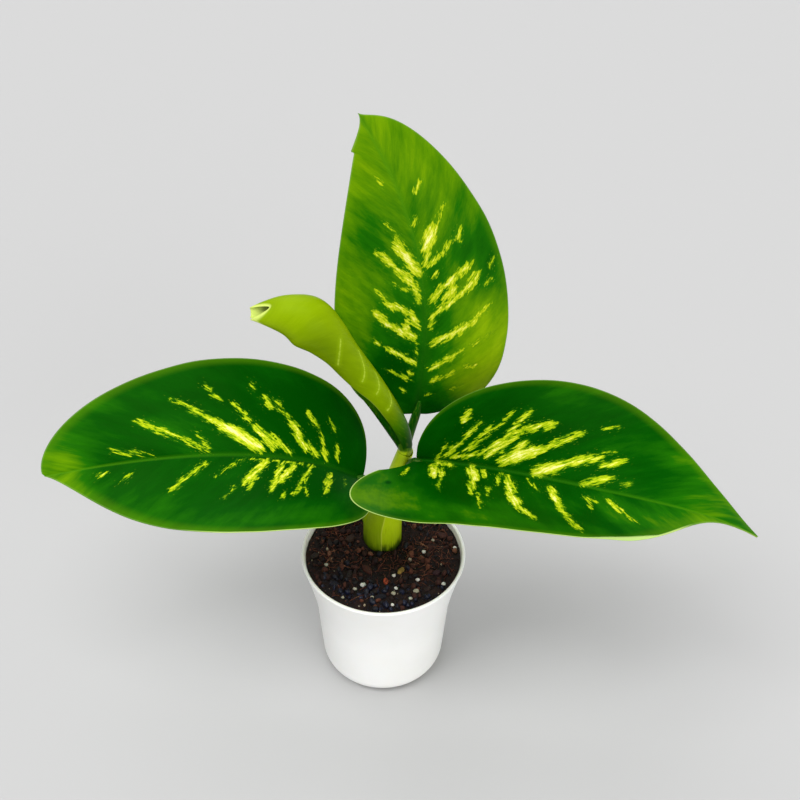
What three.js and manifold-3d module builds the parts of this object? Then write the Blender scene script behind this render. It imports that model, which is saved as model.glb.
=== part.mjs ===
// Potted dieffenbachia: a white plastic pot, its potting mix, and a young plant with three open
// leaves and one that is still rolled.
// Millimetres and degrees. +Z is up, -Y is the front, and the origin is the middle of the pot's
// underside. A leaf's left and right are those seen from above its base, looking to its tip.

import * as THREE from 'three';
import { mergeVertices } from 'three/addons/utils/BufferGeometryUtils.js';
import Module from 'manifold-3d';

const wasm = await Module();
wasm.setup();

// ---------------------------------------------------------------- driving dimensions

const CLEARANCE = 0.3;

const POT = {
  height: 96, baseRadius: 40.2, straightTopRadius: 46.5, flare: 6, flareFrom: 50, flarePower: 1.5,
  wall: 1.8, lipWidth: 2.2, lipRounding: 0.6, floorTop: 4, outerRounding: 11, innerRounding: 9,
  footWidth: 4.5, recess: 2, recessSlope: 1, padRadius: 9, sides: 48,
  drainHoles: 8, drainHoleRadius: 2, drainRingRadius: 17,
};

const MIX = {
  topAtWall: 92.8, topInMiddle: 89.8, lumpHeight: 0.35, lumpsPerMm: 0.3, rings: 5, gapToWall: 0.5,
  gapToRoots: 0.7,
};

// The shoot stands behind the pot's middle and leans right as it rises.
const SHOOT = { x: -1, y: 17, leanFrom: 105, leanTo: 163, lean: 13, leanPower: 1.3 };

// Each sheath is an open tube round the next one inward. Radii are given at its foot and its top,
// and seamTurn is the way that the seam between its margins faces, counted from +X towards +Y.
const SHEATHS = {
  leaf_left: {
    foot: 84, top: 133, outerFoot: 12.6, outerTop: 12.2, innerFoot: 10.2, innerTop: 9, seamTurn: -95,
  },
  leaf_right: {
    foot: 99, top: 151, outerFoot: 9.4, outerTop: 7.7, innerFoot: 7.2, innerTop: 5.9, seamTurn: 160,
  },
  leaf_back: {
    foot: 112, top: 166, outerFoot: 6.5, outerTop: 4.9, innerFoot: 4.2, innerTop: 3.6, seamTurn: -30,
  },
};
const SEAM = { width: 0.9, cutReach: 16, mouthWidth: 7.8, mouthHeight: 15, overrun: 6 };

const STEM = { foot: 62, shoulder: 83.7, neckTop: 98.4, footRadius: 11, waistRadius: 12.2, neckRadius: 9.7 };

const ROOTS = {
  crownTop: 61.7, crownBottom: 57, crownRadius: 9, count: 9, startRadius: 6, startThickness: 1.5,
  endThickness: 0.5, reach: 24, reachVariation: 8, drop: 34, dropVariation: 12, turnVariation: 0.35,
  centredBy: 60, steps: 5, sides: 6,
};

const BLADE = { thickness: 0.8, marginThickness: 0.45, ribDepth: 3.4, ribHalfWidth: 4, rows: 20 };
const BLADE_COLUMNS = [-1, -0.84, -0.62, -0.38, -0.17, -0.055, 0, 0.055, 0.17, 0.38, 0.62, 0.84, 1];

// width: widest half; basePower and tipPower: how blunt the outline is at each end; fold: how far
// the half is raised at the base and the tip; curl: how much it arches across; sweep: how far its
// margin runs back (-) or forward (+) of the midrib, as a share of its width, and how soon it turns
// forward. A half may also swell at its base, out to swellReach, into a lobe.
const LEAVES = {
  leaf_left: {
    midrib: [[-13, 9, 149], [-50, -2, 188], [-120, -13, 190], [-194, -24, 178]],
    face: [0.07, -0.44, 0.89], twist: -12, tipHook: [0, 0, 0],
    left: {
      width: 56, basePower: 0.47, tipPower: 1.2, foldBase: 33.5, foldTip: -10.5, curl: -8,
      sweepBase: -0.17, sweepTip: 1.07,
    },
    right: {
      width: 59, basePower: 0.355, tipPower: 0.755, foldBase: 8.5, foldTip: 11.5, curl: -4,
      sweepBase: 0.07, sweepTip: 0.84,
    },
    petiole: [[-10.5, 15, 108], [-10.5, 14, 126], [-11.5, 12, 140], [-13, 9, 149], [-19, 7, 155]],
    petioleRadii: [3.4, 3.6, 3.4, 3.2, 2],
  },
  leaf_right: {
    midrib: [[19, 5, 170], [85, -11, 180], [148, -29, 170], [213, -31, 161]],
    face: [0.12, -0.4, 0.92], twist: -4, tipHook: [5, -5, -10],
    left: {
      width: 57.3, basePower: 0.4, tipPower: 0.945, foldBase: 66, foldTip: -22, curl: -7.5,
      sweepBase: 0.2, sweepTip: 0.61,
    },
    right: {
      width: 57.5, basePower: 0.454, tipPower: 1.98, foldBase: 30, foldTip: 2, curl: 20.5,
      sweepBase: -1.35, sweepTip: 1.73, sweepEase: 0.36, baseSwell: 0.66, swellReach: 0.126,
    },
    petiole: [[7.6, 15.5, 126], [13, 13, 146], [15.5, 9.5, 160], [19, 5, 169.5], [27, 3, 170.5]],
    petioleRadii: [1.8, 3.1, 3.2, 3, 1.8],
  },
  leaf_back: {
    midrib: [[19, 27, 187], [29, 36, 243], [26, 48, 301], [-16, 60.5, 363]],
    face: [0.13, -0.91, 0.32], twist: 2, tipHook: [0, 0, 0],
    left: {
      width: 53.4, basePower: 0.433, tipPower: 1.04, foldBase: 6.2, foldTip: 6.3, curl: -16,
      sweepBase: -0.2, sweepTip: 0.67,
    },
    right: {
      width: 51.4, basePower: 0.25, tipPower: 0.69, foldBase: 7.5, foldTip: -2, curl: -32,
      sweepBase: 0.27, sweepTip: 0.4,
    },
    petiole: [[8.8, 18.5, 148], [11.8, 22, 158], [15, 25.5, 172], [19, 27, 187], [20.5, 29, 195]],
    petioleRadii: [1.6, 2.8, 2.9, 2.7, 1.8],
  },
};

// The rolled leaf wraps round its own axis. Angles are counted round the roll from the midrib:
// one half goes over the front as the outer turn, and the other goes behind and inside it. At the
// open end, from slantFrom on, the roll flattens, and the outer half is drawn back by up to slant.
const ROLLED_LEAF = {
  axis: [[12, 17, 169], [4.5, 13, 208.5], [-34.5, 3, 254.5], [-28, 3, 280.5], [-73, 6, 272]],
  face: [0, -0.78, 0.62], midribAngle: 230, layerGap: 1.3, flatness: 0.75, endFlatness: 0.5, thickness: 0.7,
  radius: [
    [0, 4.2], [0.1, 6.7], [0.3, 8.2], [0.5, 8.9], [0.62, 11.4], [0.75, 13.9], [0.85, 10.7], [0.93, 7.4],
    [1, 2.7],
  ],
  outerTurn: [[0, 150], [0.1, 155], [0.2, 160], [0.3, 170], [0.4, 203], [0.5, 232], [0.7, 235], [1, 235]],
  innerTurn: [[0, 240], [0.1, 250], [0.3, 290], [0.7, 330], [0.85, 150], [1, 130]],
  rows: 18, slant: 12, slantFrom: 0.8, slantAngles: [-5, 200], slantLean: 1.6,
  petiole: [[2.4, 17, 125], [7.3, 17, 146], [11, 17, 160], [12.7, 17, 167], [10.8, 16.3, 176]],
  petioleRadii: [2.6, 2.7, 2.6, 2.6, 3.2],
};
const ROLLED_COLUMNS = [-1, -0.8, -0.6, -0.4, -0.2, 0, 0.17, 0.34, 0.51, 0.68, 0.84, 1];

// Loose grains on the mix: x, y and length.
const GRAIN_SHARE = { width: 0.8, height: 0.7 };
const PERLITE = [
  [-12, -26, 3.8], [-17, -29, 2.6], [7, -17, 2.6], [7, -32.5, 3.2], [8.5, -28, 2.4], [-6, -36, 2.4],
  [6.5, -42, 2.4], [21, -31, 4.2], [22, -21, 2.8], [17.5, -36.5, 2.4], [26, 3, 2.8], [32, 13, 2.2],
  [38, -25, 2.8], [-36, -10, 2.6], [46, 6, 2.2], [-24, -37, 2.2],
];
// Flat chips on the mix: x, y, length and turn.
const CHIP = { thickness: 1.1, topShare: 0.84, widthShare: 0.42, widthVariation: 0.2, sides: 6 };
const BARK_CHIPS = [
  [11.5, -13, 6.5, 60], [2, -22, 5, 100], [34, -15, 6, 20], [-1, -35.5, 8, 15], [-30, -26, 7, 160],
  [-21, -17, 7, 80], [-10, -12, 9, 130], [28, -29, 5.5, 40], [-22, 14, 8, 50], [-35, 9, 6, 110],
  [38, 17, 7, 150], [-44, -3, 6, 30],
];

const COLOURS = {
  pot: 0xf4f3ee, mix: 0x2b1c15, stem: 0x8fa818, roots: 0xd8cfae, leaf: 0x1f7a14, youngLeaf: 0x9ec614,
  perlite: 0xe6e2d2, bark: 0x5a3320,
};

// ---------------------------------------------------------------- geometry helpers

const RADIANS = Math.PI / 180;
const vector = ([x, y, z]) => new THREE.Vector3(x, y, z);
const mix = THREE.MathUtils.lerp;

// A repeatable number from 0 to 1 for each whole number.
function scatter(seed) {
  const value = Math.sin(seed * 127.1 + 11.7) * 43758.5453;
  return value - Math.floor(value);
}

// The value at t of a smooth curve through a list of [t, value] keys.
function eased(keys, t) {
  const next = keys.findIndex(([at]) => at >= t);
  if (next <= 0) return keys[Math.max(next, 0)][1];
  const slope = (a, b) => (b[1] - a[1]) / (b[0] - a[0]);
  const slopeAt = (i) => slope(keys[Math.max(i - 1, 0)], keys[Math.min(i + 1, keys.length - 1)]);
  const [from, low] = keys[next - 1];
  const [to, high] = keys[next];
  const part = (t - from) / (to - from);
  const rest = 1 - part;
  return low * rest * rest * (1 + 2 * part) + high * part * part * (1 + 2 * rest)
    + (to - from) * part * rest * (slopeAt(next - 1) * rest - slopeAt(next) * part);
}

// The point at t of a Bezier curve of any degree.
function bezier(controls, t) {
  let points = controls.map(vector);
  while (points.length > 1) {
    points = points.slice(1).map((point, i) => points[i].clone().lerp(point, t));
  }
  return points[0];
}

function meshGeometry(points, index) {
  const geometry = new THREE.BufferGeometry();
  geometry.setAttribute('position', new THREE.Float32BufferAttribute(points.flatMap((p) => p.toArray()), 3));
  geometry.setIndex(index);
  return geometry;
}

function solid(geometry) {
  const bare = geometry.clone();
  bare.deleteAttribute('normal');
  bare.deleteAttribute('uv');
  const merged = mergeVertices(bare);
  return new wasm.Manifold(new wasm.Mesh({
    numProp: 3,
    vertProperties: Float32Array.from(merged.attributes.position.array),
    triVerts: Uint32Array.from(merged.index.array),
  }));
}

function geometryOf(manifold) {
  const { vertProperties, triVerts } = manifold.getMesh();
  const geometry = new THREE.BufferGeometry();
  geometry.setAttribute('position', new THREE.BufferAttribute(vertProperties, 3));
  geometry.setIndex(new THREE.BufferAttribute(triVerts, 1));
  return geometry;
}

// Stacked rings of equal point count, joined into one closed body with flat ends.
function loft(rings) {
  const sides = rings[0].length;
  const points = rings.flat();
  const index = [];
  for (let ring = 0; ring < rings.length - 1; ring += 1) {
    for (let side = 0; side < sides; side += 1) {
      const a = ring * sides + side;
      const b = ring * sides + ((side + 1) % sides);
      index.push(a, b, b + sides, a, b + sides, a + sides);
    }
  }
  const last = (rings.length - 1) * sides;
  for (let side = 1; side < sides - 1; side += 1) {
    index.push(0, side + 1, side, last, last + side, last + side + 1);
  }
  return meshGeometry(points, index);
}

// A tube through the points, with its own radius at each.
function tube(path, radii, steps, sides) {
  const curve = new THREE.CatmullRomCurve3(path.map(vector));
  const frames = curve.computeFrenetFrames(steps, false);
  const rings = [];
  for (let step = 0; step <= steps; step += 1) {
    const t = step / steps;
    const centre = curve.getPointAt(t);
    const place = t * (radii.length - 1);
    const before = Math.min(Math.floor(place), radii.length - 2);
    const radius = mix(radii[before], radii[before + 1], place - before);
    const ring = [];
    for (let side = 0; side < sides; side += 1) {
      const angle = (2 * Math.PI * side) / sides;
      const out = frames.normals[step].clone().multiplyScalar(Math.cos(angle) * radius);
      ring.push(out.addScaledVector(frames.binormals[step], Math.sin(angle) * radius).add(centre));
    }
    rings.push(ring);
  }
  return loft(rings);
}

// A closed sheet whose upper face is point(u, v) and whose lower face is thickness(u, v) below it.
function sheet(rows, columns, point, thickness) {
  const NUDGE = 1e-4;
  const upper = [];
  const lower = [];
  rows.forEach((u) => columns.forEach((v) => {
    const along = point(u + NUDGE, v).sub(point(u - NUDGE, v));
    const across = point(u, v + NUDGE).sub(point(u, v - NUDGE));
    const normal = along.cross(across).normalize();
    upper.push(point(u, v));
    lower.push(point(u, v).addScaledVector(normal, -thickness(u, v)));
  }));
  const at = (row, column) => row * columns.length + column;
  const index = [];
  const below = upper.length;
  for (let row = 0; row < rows.length - 1; row += 1) {
    for (let column = 0; column < columns.length - 1; column += 1) {
      const corners = [at(row, column), at(row + 1, column), at(row + 1, column + 1), at(row, column + 1)];
      const [a, b, c, d] = corners;
      index.push(a, b, c, a, c, d);
      index.push(below + a, below + c, below + b, below + a, below + d, below + c);
    }
  }
  const lastRow = rows.length - 1;
  const lastColumn = columns.length - 1;
  const border = [];
  for (let row = 0; row < lastRow; row += 1) border.push(at(row, 0));
  for (let column = 0; column < lastColumn; column += 1) border.push(at(lastRow, column));
  for (let row = lastRow; row > 0; row -= 1) border.push(at(row, lastColumn));
  for (let column = lastColumn; column > 0; column -= 1) border.push(at(0, column));
  border.forEach((from, i) => {
    const to = border[(i + 1) % border.length];
    index.push(to, from, below + from, to, below + from, below + to);
  });
  return meshGeometry([...upper, ...lower], index);
}

// Rows from 0 to 1 that crowd towards both ends, where the outline turns fastest.
function endCrowdedRows(count, first, last) {
  const rows = [];
  for (let row = 0; row <= count; row += 1) {
    rows.push(mix(first, last, (1 - Math.cos((Math.PI * row) / count)) / 2));
  }
  return rows;
}

// ---------------------------------------------------------------- the shoot's nest of sheaths

function shootCentre(z) {
  const risen = Math.max(0, z - SHOOT.leanFrom) / (SHOOT.leanTo - SHOOT.leanFrom);
  return new THREE.Vector3(SHOOT.x + SHOOT.lean * risen ** SHOOT.leanPower, SHOOT.y, z);
}

// Level rings up the shoot's axis, from [height, radius] keys.
function shootTube(keys, sides = 20) {
  return loft(keys.map(([z, radius]) => {
    const centre = shootCentre(z);
    return Array.from({ length: sides }, (_, side) => {
      const angle = (2 * Math.PI * side) / sides;
      return new THREE.Vector3(Math.cos(angle) * radius, Math.sin(angle) * radius, 0).add(centre);
    });
  }));
}

function taperKeys(foot, top, footRadius, topRadius, steps = 4) {
  return Array.from({ length: steps + 1 }, (_, i) => {
    const t = i / steps;
    return [mix(foot, top, t), mix(footRadius, topRadius, t)];
  });
}

// The hollow of a sheath, run on past both ends so that it cuts cleanly.
function sheathHollow({ foot, top, innerFoot, innerTop }) {
  const overrun = 2;
  const past = 12;
  const slope = (innerTop - innerFoot) / (top - foot);
  return solid(shootTube([
    [foot - overrun, innerFoot],
    ...taperKeys(foot, top, innerFoot, innerTop),
    [top + past, innerTop + slope * past],
  ]));
}

// The seam where a sheath's two margins meet, which opens into a mouth at its top.
function sheathSeam({ foot, top, seamTurn }) {
  const out = new THREE.Vector3(Math.cos(seamTurn * RADIANS), Math.sin(seamTurn * RADIANS), 0);
  const side = new THREE.Vector3(-out.y, out.x, 0);
  const slot = ([z, width]) => {
    const corners = [[0, -0.5], [SEAM.cutReach, -0.5], [SEAM.cutReach, 0.5], [0, 0.5]];
    return corners.map(([far, share]) => shootCentre(z)
      .addScaledVector(out, far)
      .addScaledVector(side, share * width));
  };
  return solid(loft([
    [foot - SEAM.overrun, SEAM.width],
    [top - SEAM.mouthHeight, SEAM.width],
    [top - SEAM.mouthHeight / 3, SEAM.mouthWidth],
    [top + SEAM.overrun, SEAM.mouthWidth * 2],
  ].map(slot)));
}

function sheath(name) {
  const { foot, top, outerFoot, outerTop } = SHEATHS[name];
  return solid(shootTube(taperKeys(foot, top, outerFoot, outerTop)));
}

// ---------------------------------------------------------------- leaves

// How wide a half-blade is at u, as a share of its widest.
function outline(u, { basePower, tipPower, baseSwell = 0, swellReach = 1 }) {
  const inside = THREE.MathUtils.clamp(u, 0, 1);
  const widest = basePower / (basePower + tipPower);
  const most = widest ** basePower * (1 - widest) ** tipPower;
  const lobe = 1 + baseSwell * Math.exp(-((inside / swellReach) ** 2));
  return (lobe * inside ** basePower * (1 - inside) ** tipPower) / most;
}

function midribPoint(leaf, u) {
  const HOOK_POWER = 10;
  return bezier(leaf.midrib, u).addScaledVector(vector(leaf.tipHook), Math.max(u, 0) ** HOOK_POWER);
}

// The upper face of a blade: u runs from base to tip, and v from the right margin (-1) to the left (1).
function bladePoint(leaf, u, v) {
  const NUDGE = 1e-3;
  const half = v > 0 ? leaf.left : leaf.right;
  const { sweepEase = 0.7 } = half;
  const across = Math.abs(v);
  const along = midribPoint(leaf, u + NUDGE).sub(midribPoint(leaf, u - NUDGE)).normalize();
  const face = vector(leaf.face).normalize();
  const flatNormal = face.addScaledVector(along, -face.dot(along)).normalize();
  const twist = leaf.twist * RADIANS * (u - 0.5);
  const normal = flatNormal.applyAxisAngle(along, twist);
  const left = normal.clone().cross(along);

  const width = half.width * outline(u, half);
  const fold = mix(half.foldBase, half.foldTip, u) * RADIANS;
  const curl = half.curl * RADIANS;
  const out = (width * (Math.sin(fold + curl * across) - Math.sin(fold))) / curl;
  const rise = (width * (Math.cos(fold) - Math.cos(fold + curl * across))) / curl;
  const sweep = mix(half.sweepBase, half.sweepTip, Math.max(u, 0) ** sweepEase);
  const forward = width * sweep * (0.45 * across + 0.55 * across * across);
  return midribPoint(leaf, u)
    .addScaledVector(left, v > 0 ? out : -out)
    .addScaledVector(normal, rise)
    .addScaledVector(along, forward);
}

// A blade is thin at its margins and has its midrib standing out below.
function bladeThickness(leaf, u, v) {
  const half = v > 0 ? leaf.left : leaf.right;
  const fromMidrib = Math.abs(v) * half.width * outline(u, half);
  const ribHalfWidth = BLADE.ribHalfWidth * (1 - 0.7 * u);
  const rib = Math.sqrt(Math.max(0, 1 - (fromMidrib / ribHalfWidth) ** 2)) * BLADE.ribDepth * (1 - u) ** 0.8;
  return mix(BLADE.thickness, BLADE.marginThickness, v * v) + rib;
}

function blade(leaf) {
  const rows = endCrowdedRows(BLADE.rows, 0.003, 0.994);
  const point = (u, v) => bladePoint(leaf, u, v);
  return solid(sheet(rows, BLADE_COLUMNS, point, (u, v) => bladeThickness(leaf, u, v)));
}

function openLeaf(name) {
  const leaf = LEAVES[name];
  const petiole = solid(tube(leaf.petiole, leaf.petioleRadii, 9, 10));
  const lower = sheath(name).add(petiole).subtract(sheathSeam(SHEATHS[name]));
  return lower.subtract(sheathHollow(SHEATHS[name])).add(blade(leaf));
}

// The inward face of the rolled leaf, whose thickness lies outside it: u runs from base to tip, and
// v from the outer margin (-1), through the midrib (0), to the inner margin (1).
function rolledPoint(u, v) {
  const NUDGE = 1e-3;
  const roll = ROLLED_LEAF;
  const inside = THREE.MathUtils.clamp(u, 0, 1);
  const along = bezier(roll.axis, u + NUDGE).sub(bezier(roll.axis, u - NUDGE)).normalize();
  const face = vector(roll.face).normalize();
  const front = face.addScaledVector(along, -face.dot(along)).normalize();
  const left = front.clone().cross(along);
  const turned = v < 0 ? v * eased(roll.outerTurn, inside) : v * eased(roll.innerTurn, inside);
  const layersIn = Math.max(0, turned) / (360 - roll.midribAngle);
  const radius = Math.max(0.4, eased(roll.radius, inside) - roll.layerGap * layersIn);
  const angle = (roll.midribAngle + turned) * RADIANS;
  const nearEnd = Math.max(0, (inside - roll.slantFrom) / (1 - roll.slantFrom)) ** 2;
  const flatness = mix(roll.flatness, roll.endFlatness, nearEnd);
  const [slantLow, slantHigh] = roll.slantAngles;
  const round = THREE.MathUtils.clamp((angle / RADIANS - slantLow) / (slantHigh - slantLow), 0, 1);
  const back = v < 0 ? roll.slant * nearEnd * Math.sin(Math.PI * round ** roll.slantLean) : 0;
  return bezier(roll.axis, u)
    .addScaledVector(along, -back)
    .addScaledVector(left, Math.cos(angle) * radius)
    .addScaledVector(front, Math.sin(angle) * radius * flatness);
}

function rolledLeaf() {
  const { rows: steps, thickness, petiole, petioleRadii } = ROLLED_LEAF;
  const rows = Array.from({ length: steps + 1 }, (_, row) => mix(0.004, 0.996, row / steps));
  const lamina = solid(sheet(rows, ROLLED_COLUMNS, rolledPoint, () => thickness));
  return lamina.add(solid(tube(petiole, petioleRadii, 8, 10)));
}

// ---------------------------------------------------------------- stem and roots

function stem() {
  const { foot, shoulder, neckTop, footRadius, waistRadius, neckRadius } = STEM;
  return solid(shootTube([
    [foot, footRadius], [mix(foot, shoulder, 0.4), waistRadius], [shoulder, waistRadius],
    [shoulder + 0.01, neckRadius], [neckTop - 2, neckRadius - 0.2], [neckTop, neckRadius - 2.5],
  ]));
}

function rootTube(number, extra) {
  const turn = (2 * Math.PI * (number + ROOTS.turnVariation * scatter(number))) / ROOTS.count;
  const reach = ROOTS.reach + ROOTS.reachVariation * (scatter(number + 20) - 0.5);
  const drop = ROOTS.drop + ROOTS.dropVariation * (scatter(number + 40) - 0.5);
  const at = (out, down, bend) => [
    SHOOT.x + Math.cos(turn + bend) * out,
    SHOOT.y * (1 - down / ROOTS.centredBy) + Math.sin(turn + bend) * out,
    ROOTS.crownBottom + 1.5 - down,
  ];
  const path = [
    at(ROOTS.startRadius, 0, 0), at(reach * 0.6, drop * 0.35, 0.15), at(reach + extra, drop + extra, 0.4),
  ];
  const radii = [ROOTS.startThickness + extra, ROOTS.endThickness + extra];
  return solid(tube(path, radii, ROOTS.steps, ROOTS.sides));
}

// The crown under the stem with its strands. The extra thickness makes the space they need.
function roots(extra = 0) {
  const { crownTop, crownBottom, crownRadius } = ROOTS;
  let body = solid(shootTube([
    [crownBottom - extra, crownRadius - 3 + extra],
    [mix(crownBottom, crownTop, 0.5), crownRadius + extra],
    [crownTop + extra, crownRadius + extra],
  ], 12));
  for (let number = 0; number < ROOTS.count; number += 1) {
    body = body.add(rootTube(number, extra));
  }
  return body;
}

// ---------------------------------------------------------------- pot and potting mix

function turned(profile, sides) {
  const points = profile.map(([radius, height]) => new THREE.Vector2(radius, height));
  return new THREE.LatheGeometry(points, sides).rotateX(Math.PI / 2);
}

// Radius of the pot's outside above its rounded base, at height z.
function wallRadius(z) {
  const flared = Math.max(0, z - POT.flareFrom) / (POT.height - POT.flareFrom);
  return mix(POT.baseRadius, POT.straightTopRadius, z / POT.height) + POT.flare * flared ** POT.flarePower;
}

// The quarter round from a flat bottom at height bottom up to the wall, as [radius, height] points.
function roundedFoot(bottom, rounding, inset, steps) {
  const widest = wallRadius(bottom + rounding) - inset;
  return Array.from({ length: steps + 1 }, (_, step) => {
    const angle = (Math.PI / 2) * (step / steps);
    return [widest - rounding * (1 - Math.sin(angle)), bottom + rounding * (1 - Math.cos(angle))];
  });
}

// Wall points from a lowest height up to a highest, each set in from the outside.
function wallPoints(from, to, inset, steps) {
  return Array.from({ length: steps }, (_, step) => {
    const z = mix(from, to, (step + 1) / steps);
    return [wallRadius(z) - inset, z];
  });
}

function potProfile() {
  const { height, wall, lipWidth, lipRounding: round, floorTop, outerRounding, innerRounding } = POT;
  const rimRadius = wallRadius(height);
  const footOuter = wallRadius(outerRounding) - outerRounding;
  const footInner = footOuter - POT.footWidth;
  return [
    [0, 0], [POT.padRadius, 0], [POT.padRadius + POT.recessSlope, POT.recess],
    [footInner - POT.recessSlope, POT.recess], [footInner, 0],
    ...roundedFoot(0, outerRounding, 0, 4),
    ...wallPoints(outerRounding, height - round, 0, 6),
    [rimRadius - round, height], [rimRadius - lipWidth + round, height],
    ...wallPoints(floorTop + innerRounding, height - round * 3, wall, 6).reverse(),
    ...roundedFoot(floorTop, innerRounding, wall, 3).reverse(),
    [0, floorTop],
  ];
}

function pot() {
  const { floorTop, drainHoles, drainHoleRadius, drainRingRadius } = POT;
  let body = solid(turned(potProfile(), POT.sides));
  for (let hole = 0; hole < drainHoles; hole += 1) {
    const turn = (2 * Math.PI * (hole + 0.5)) / drainHoles;
    const drill = new THREE.CylinderGeometry(drainHoleRadius, drainHoleRadius, floorTop * 2, 12);
    drill.rotateX(Math.PI / 2);
    drill.translate(Math.cos(turn) * drainRingRadius, Math.sin(turn) * drainRingRadius, floorTop / 2);
    body = body.subtract(solid(drill));
  }
  return body;
}

// Height of the mix's top: heaped up at the wall, lower in the middle, with slow lumps.
function mixTop(x, y) {
  const fromMiddle = Math.min(1, Math.hypot(x, y) / wallRadius(MIX.topAtWall));
  const lumps = Math.sin(x * MIX.lumpsPerMm + 1) * Math.cos(y * MIX.lumpsPerMm) * MIX.lumpHeight;
  return mix(MIX.topInMiddle, MIX.topAtWall, fromMiddle ** 2) + lumps * (1 - fromMiddle ** 4);
}

function pottingMix() {
  const inset = POT.wall + MIX.gapToWall;
  const bottom = POT.floorTop + CLEARANCE;
  const topRadius = wallRadius(MIX.topAtWall) - inset;
  const profile = [
    [0, bottom],
    ...roundedFoot(bottom, POT.innerRounding, inset, 3),
    ...wallPoints(bottom + POT.innerRounding, MIX.topAtWall, inset, 5),
  ];
  for (let ring = MIX.rings - 1; ring >= 0; ring -= 1) {
    profile.push([(topRadius * ring) / MIX.rings, MIX.topAtWall]);
  }
  const geometry = turned(profile, POT.sides);
  const { position } = geometry.attributes;
  for (let i = 0; i < position.count; i += 1) {
    if (position.getZ(i) > MIX.topAtWall - 0.01) {
      position.setZ(i, mixTop(position.getX(i), position.getY(i)));
    }
  }
  const holeRadius = SHEATHS.leaf_left.outerFoot + CLEARANCE;
  const holeLevels = [STEM.foot - CLEARANCE, SHOOT.leanFrom, POT.height];
  const stemHole = solid(shootTube(holeLevels.map((level) => [level, holeRadius])));
  return solid(geometry).subtract(stemHole).subtract(roots(MIX.gapToRoots));
}

// ---------------------------------------------------------------- loose grains and chips

function perliteGrain([x, y, length], number) {
  const grain = new THREE.IcosahedronGeometry(length / 2, 0);
  grain.rotateX(scatter(number) * 3);
  grain.rotateZ(scatter(number + 50) * 3);
  grain.scale(1, GRAIN_SHARE.width, GRAIN_SHARE.height);
  return seated(grain, x, y);
}

function barkChip([x, y, length, turn], number) {
  const radius = length / 2;
  const chip = new THREE.CylinderGeometry(radius * CHIP.topShare, radius, CHIP.thickness, CHIP.sides);
  chip.rotateX(Math.PI / 2);
  chip.scale(1, CHIP.widthShare + CHIP.widthVariation * scatter(number), 1);
  chip.rotateZ(turn * RADIANS);
  return seated(chip, x, y);
}

// The geometry moved to (x, y), with its lowest point just clear of the mix under it.
function seated(geometry, x, y) {
  geometry.computeBoundingBox();
  const { min, max } = geometry.boundingBox;
  const corners = [[0, 0], [min.x, min.y], [min.x, max.y], [max.x, min.y], [max.x, max.y]];
  const ground = Math.max(...corners.map(([dx, dy]) => mixTop(x + dx, y + dy)));
  return geometry.translate(x, y, ground + CLEARANCE - min.z);
}

// ---------------------------------------------------------------- the assembly

function material(colour, roughness) {
  return new THREE.MeshStandardMaterial({ color: colour, roughness, metalness: 0 });
}

function part(name, geometry, surface) {
  const mesh = new THREE.Mesh(geometry, surface);
  mesh.name = name;
  return mesh;
}

const potPlastic = material(COLOURS.pot, 0.35);
const leafSurface = material(COLOURS.leaf, 0.3);
const perliteSurface = material(COLOURS.perlite, 0.9);
const barkSurface = material(COLOURS.bark, 0.95);
const numbered = (name, number) => `${name}_${String(number + 1).padStart(2, '0')}`;

const plant = new THREE.Group();
plant.add(
  part('pot', geometryOf(pot()), potPlastic),
  part('potting_mix', geometryOf(pottingMix()), material(COLOURS.mix, 0.95)),
  part('stem', geometryOf(stem()), material(COLOURS.stem, 0.5)),
  part('roots', geometryOf(roots()), material(COLOURS.roots, 0.8)),
  part('leaf_left', geometryOf(openLeaf('leaf_left')), leafSurface),
  part('leaf_right', geometryOf(openLeaf('leaf_right')), leafSurface),
  part('leaf_back', geometryOf(openLeaf('leaf_back')), leafSurface),
  part('leaf_young', geometryOf(rolledLeaf()), material(COLOURS.youngLeaf, 0.35)),
);
PERLITE.forEach((grain, index) => {
  plant.add(part(numbered('perlite', index), perliteGrain(grain, index), perliteSurface));
});
BARK_CHIPS.forEach((chip, index) => {
  plant.add(part(numbered('bark_chip', index), barkChip(chip, index), barkSurface));
});

export default plant;
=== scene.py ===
"""A young dumb cane in a white nursery pot: the looks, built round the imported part.

Sizes are in millimetres, and MM turns them into metres where a mesh is made.
+Z is up, the pot stands on z = 0, and -Y is the front.
"""

import math
from types import SimpleNamespace as Sizes

import bmesh
import bpy
import numpy as np
from mathutils import Euler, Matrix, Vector


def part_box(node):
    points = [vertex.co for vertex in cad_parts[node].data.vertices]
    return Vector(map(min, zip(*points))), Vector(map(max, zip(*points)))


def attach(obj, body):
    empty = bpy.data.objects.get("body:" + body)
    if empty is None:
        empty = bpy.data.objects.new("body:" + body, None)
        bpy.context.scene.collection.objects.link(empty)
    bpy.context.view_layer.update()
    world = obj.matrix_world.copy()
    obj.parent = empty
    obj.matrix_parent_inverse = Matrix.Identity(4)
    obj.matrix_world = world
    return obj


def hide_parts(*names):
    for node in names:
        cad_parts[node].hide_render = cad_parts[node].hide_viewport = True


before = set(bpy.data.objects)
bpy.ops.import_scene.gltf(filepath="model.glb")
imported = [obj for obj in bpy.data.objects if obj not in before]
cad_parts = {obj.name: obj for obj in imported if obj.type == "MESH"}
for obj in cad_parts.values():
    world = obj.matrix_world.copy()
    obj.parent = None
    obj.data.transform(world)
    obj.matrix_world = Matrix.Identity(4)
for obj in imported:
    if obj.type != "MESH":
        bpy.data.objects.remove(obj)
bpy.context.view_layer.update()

MM = 0.001
PER_MM = 1 / MM
BODY = "root"

# ---------------------------------------------------------------- driving sizes

CAMERA = Sizes(place=(8.95, -447.87, 576.83), pitch=38.6, roll=1.0, lens=45.7, sensor=36.0)

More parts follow.
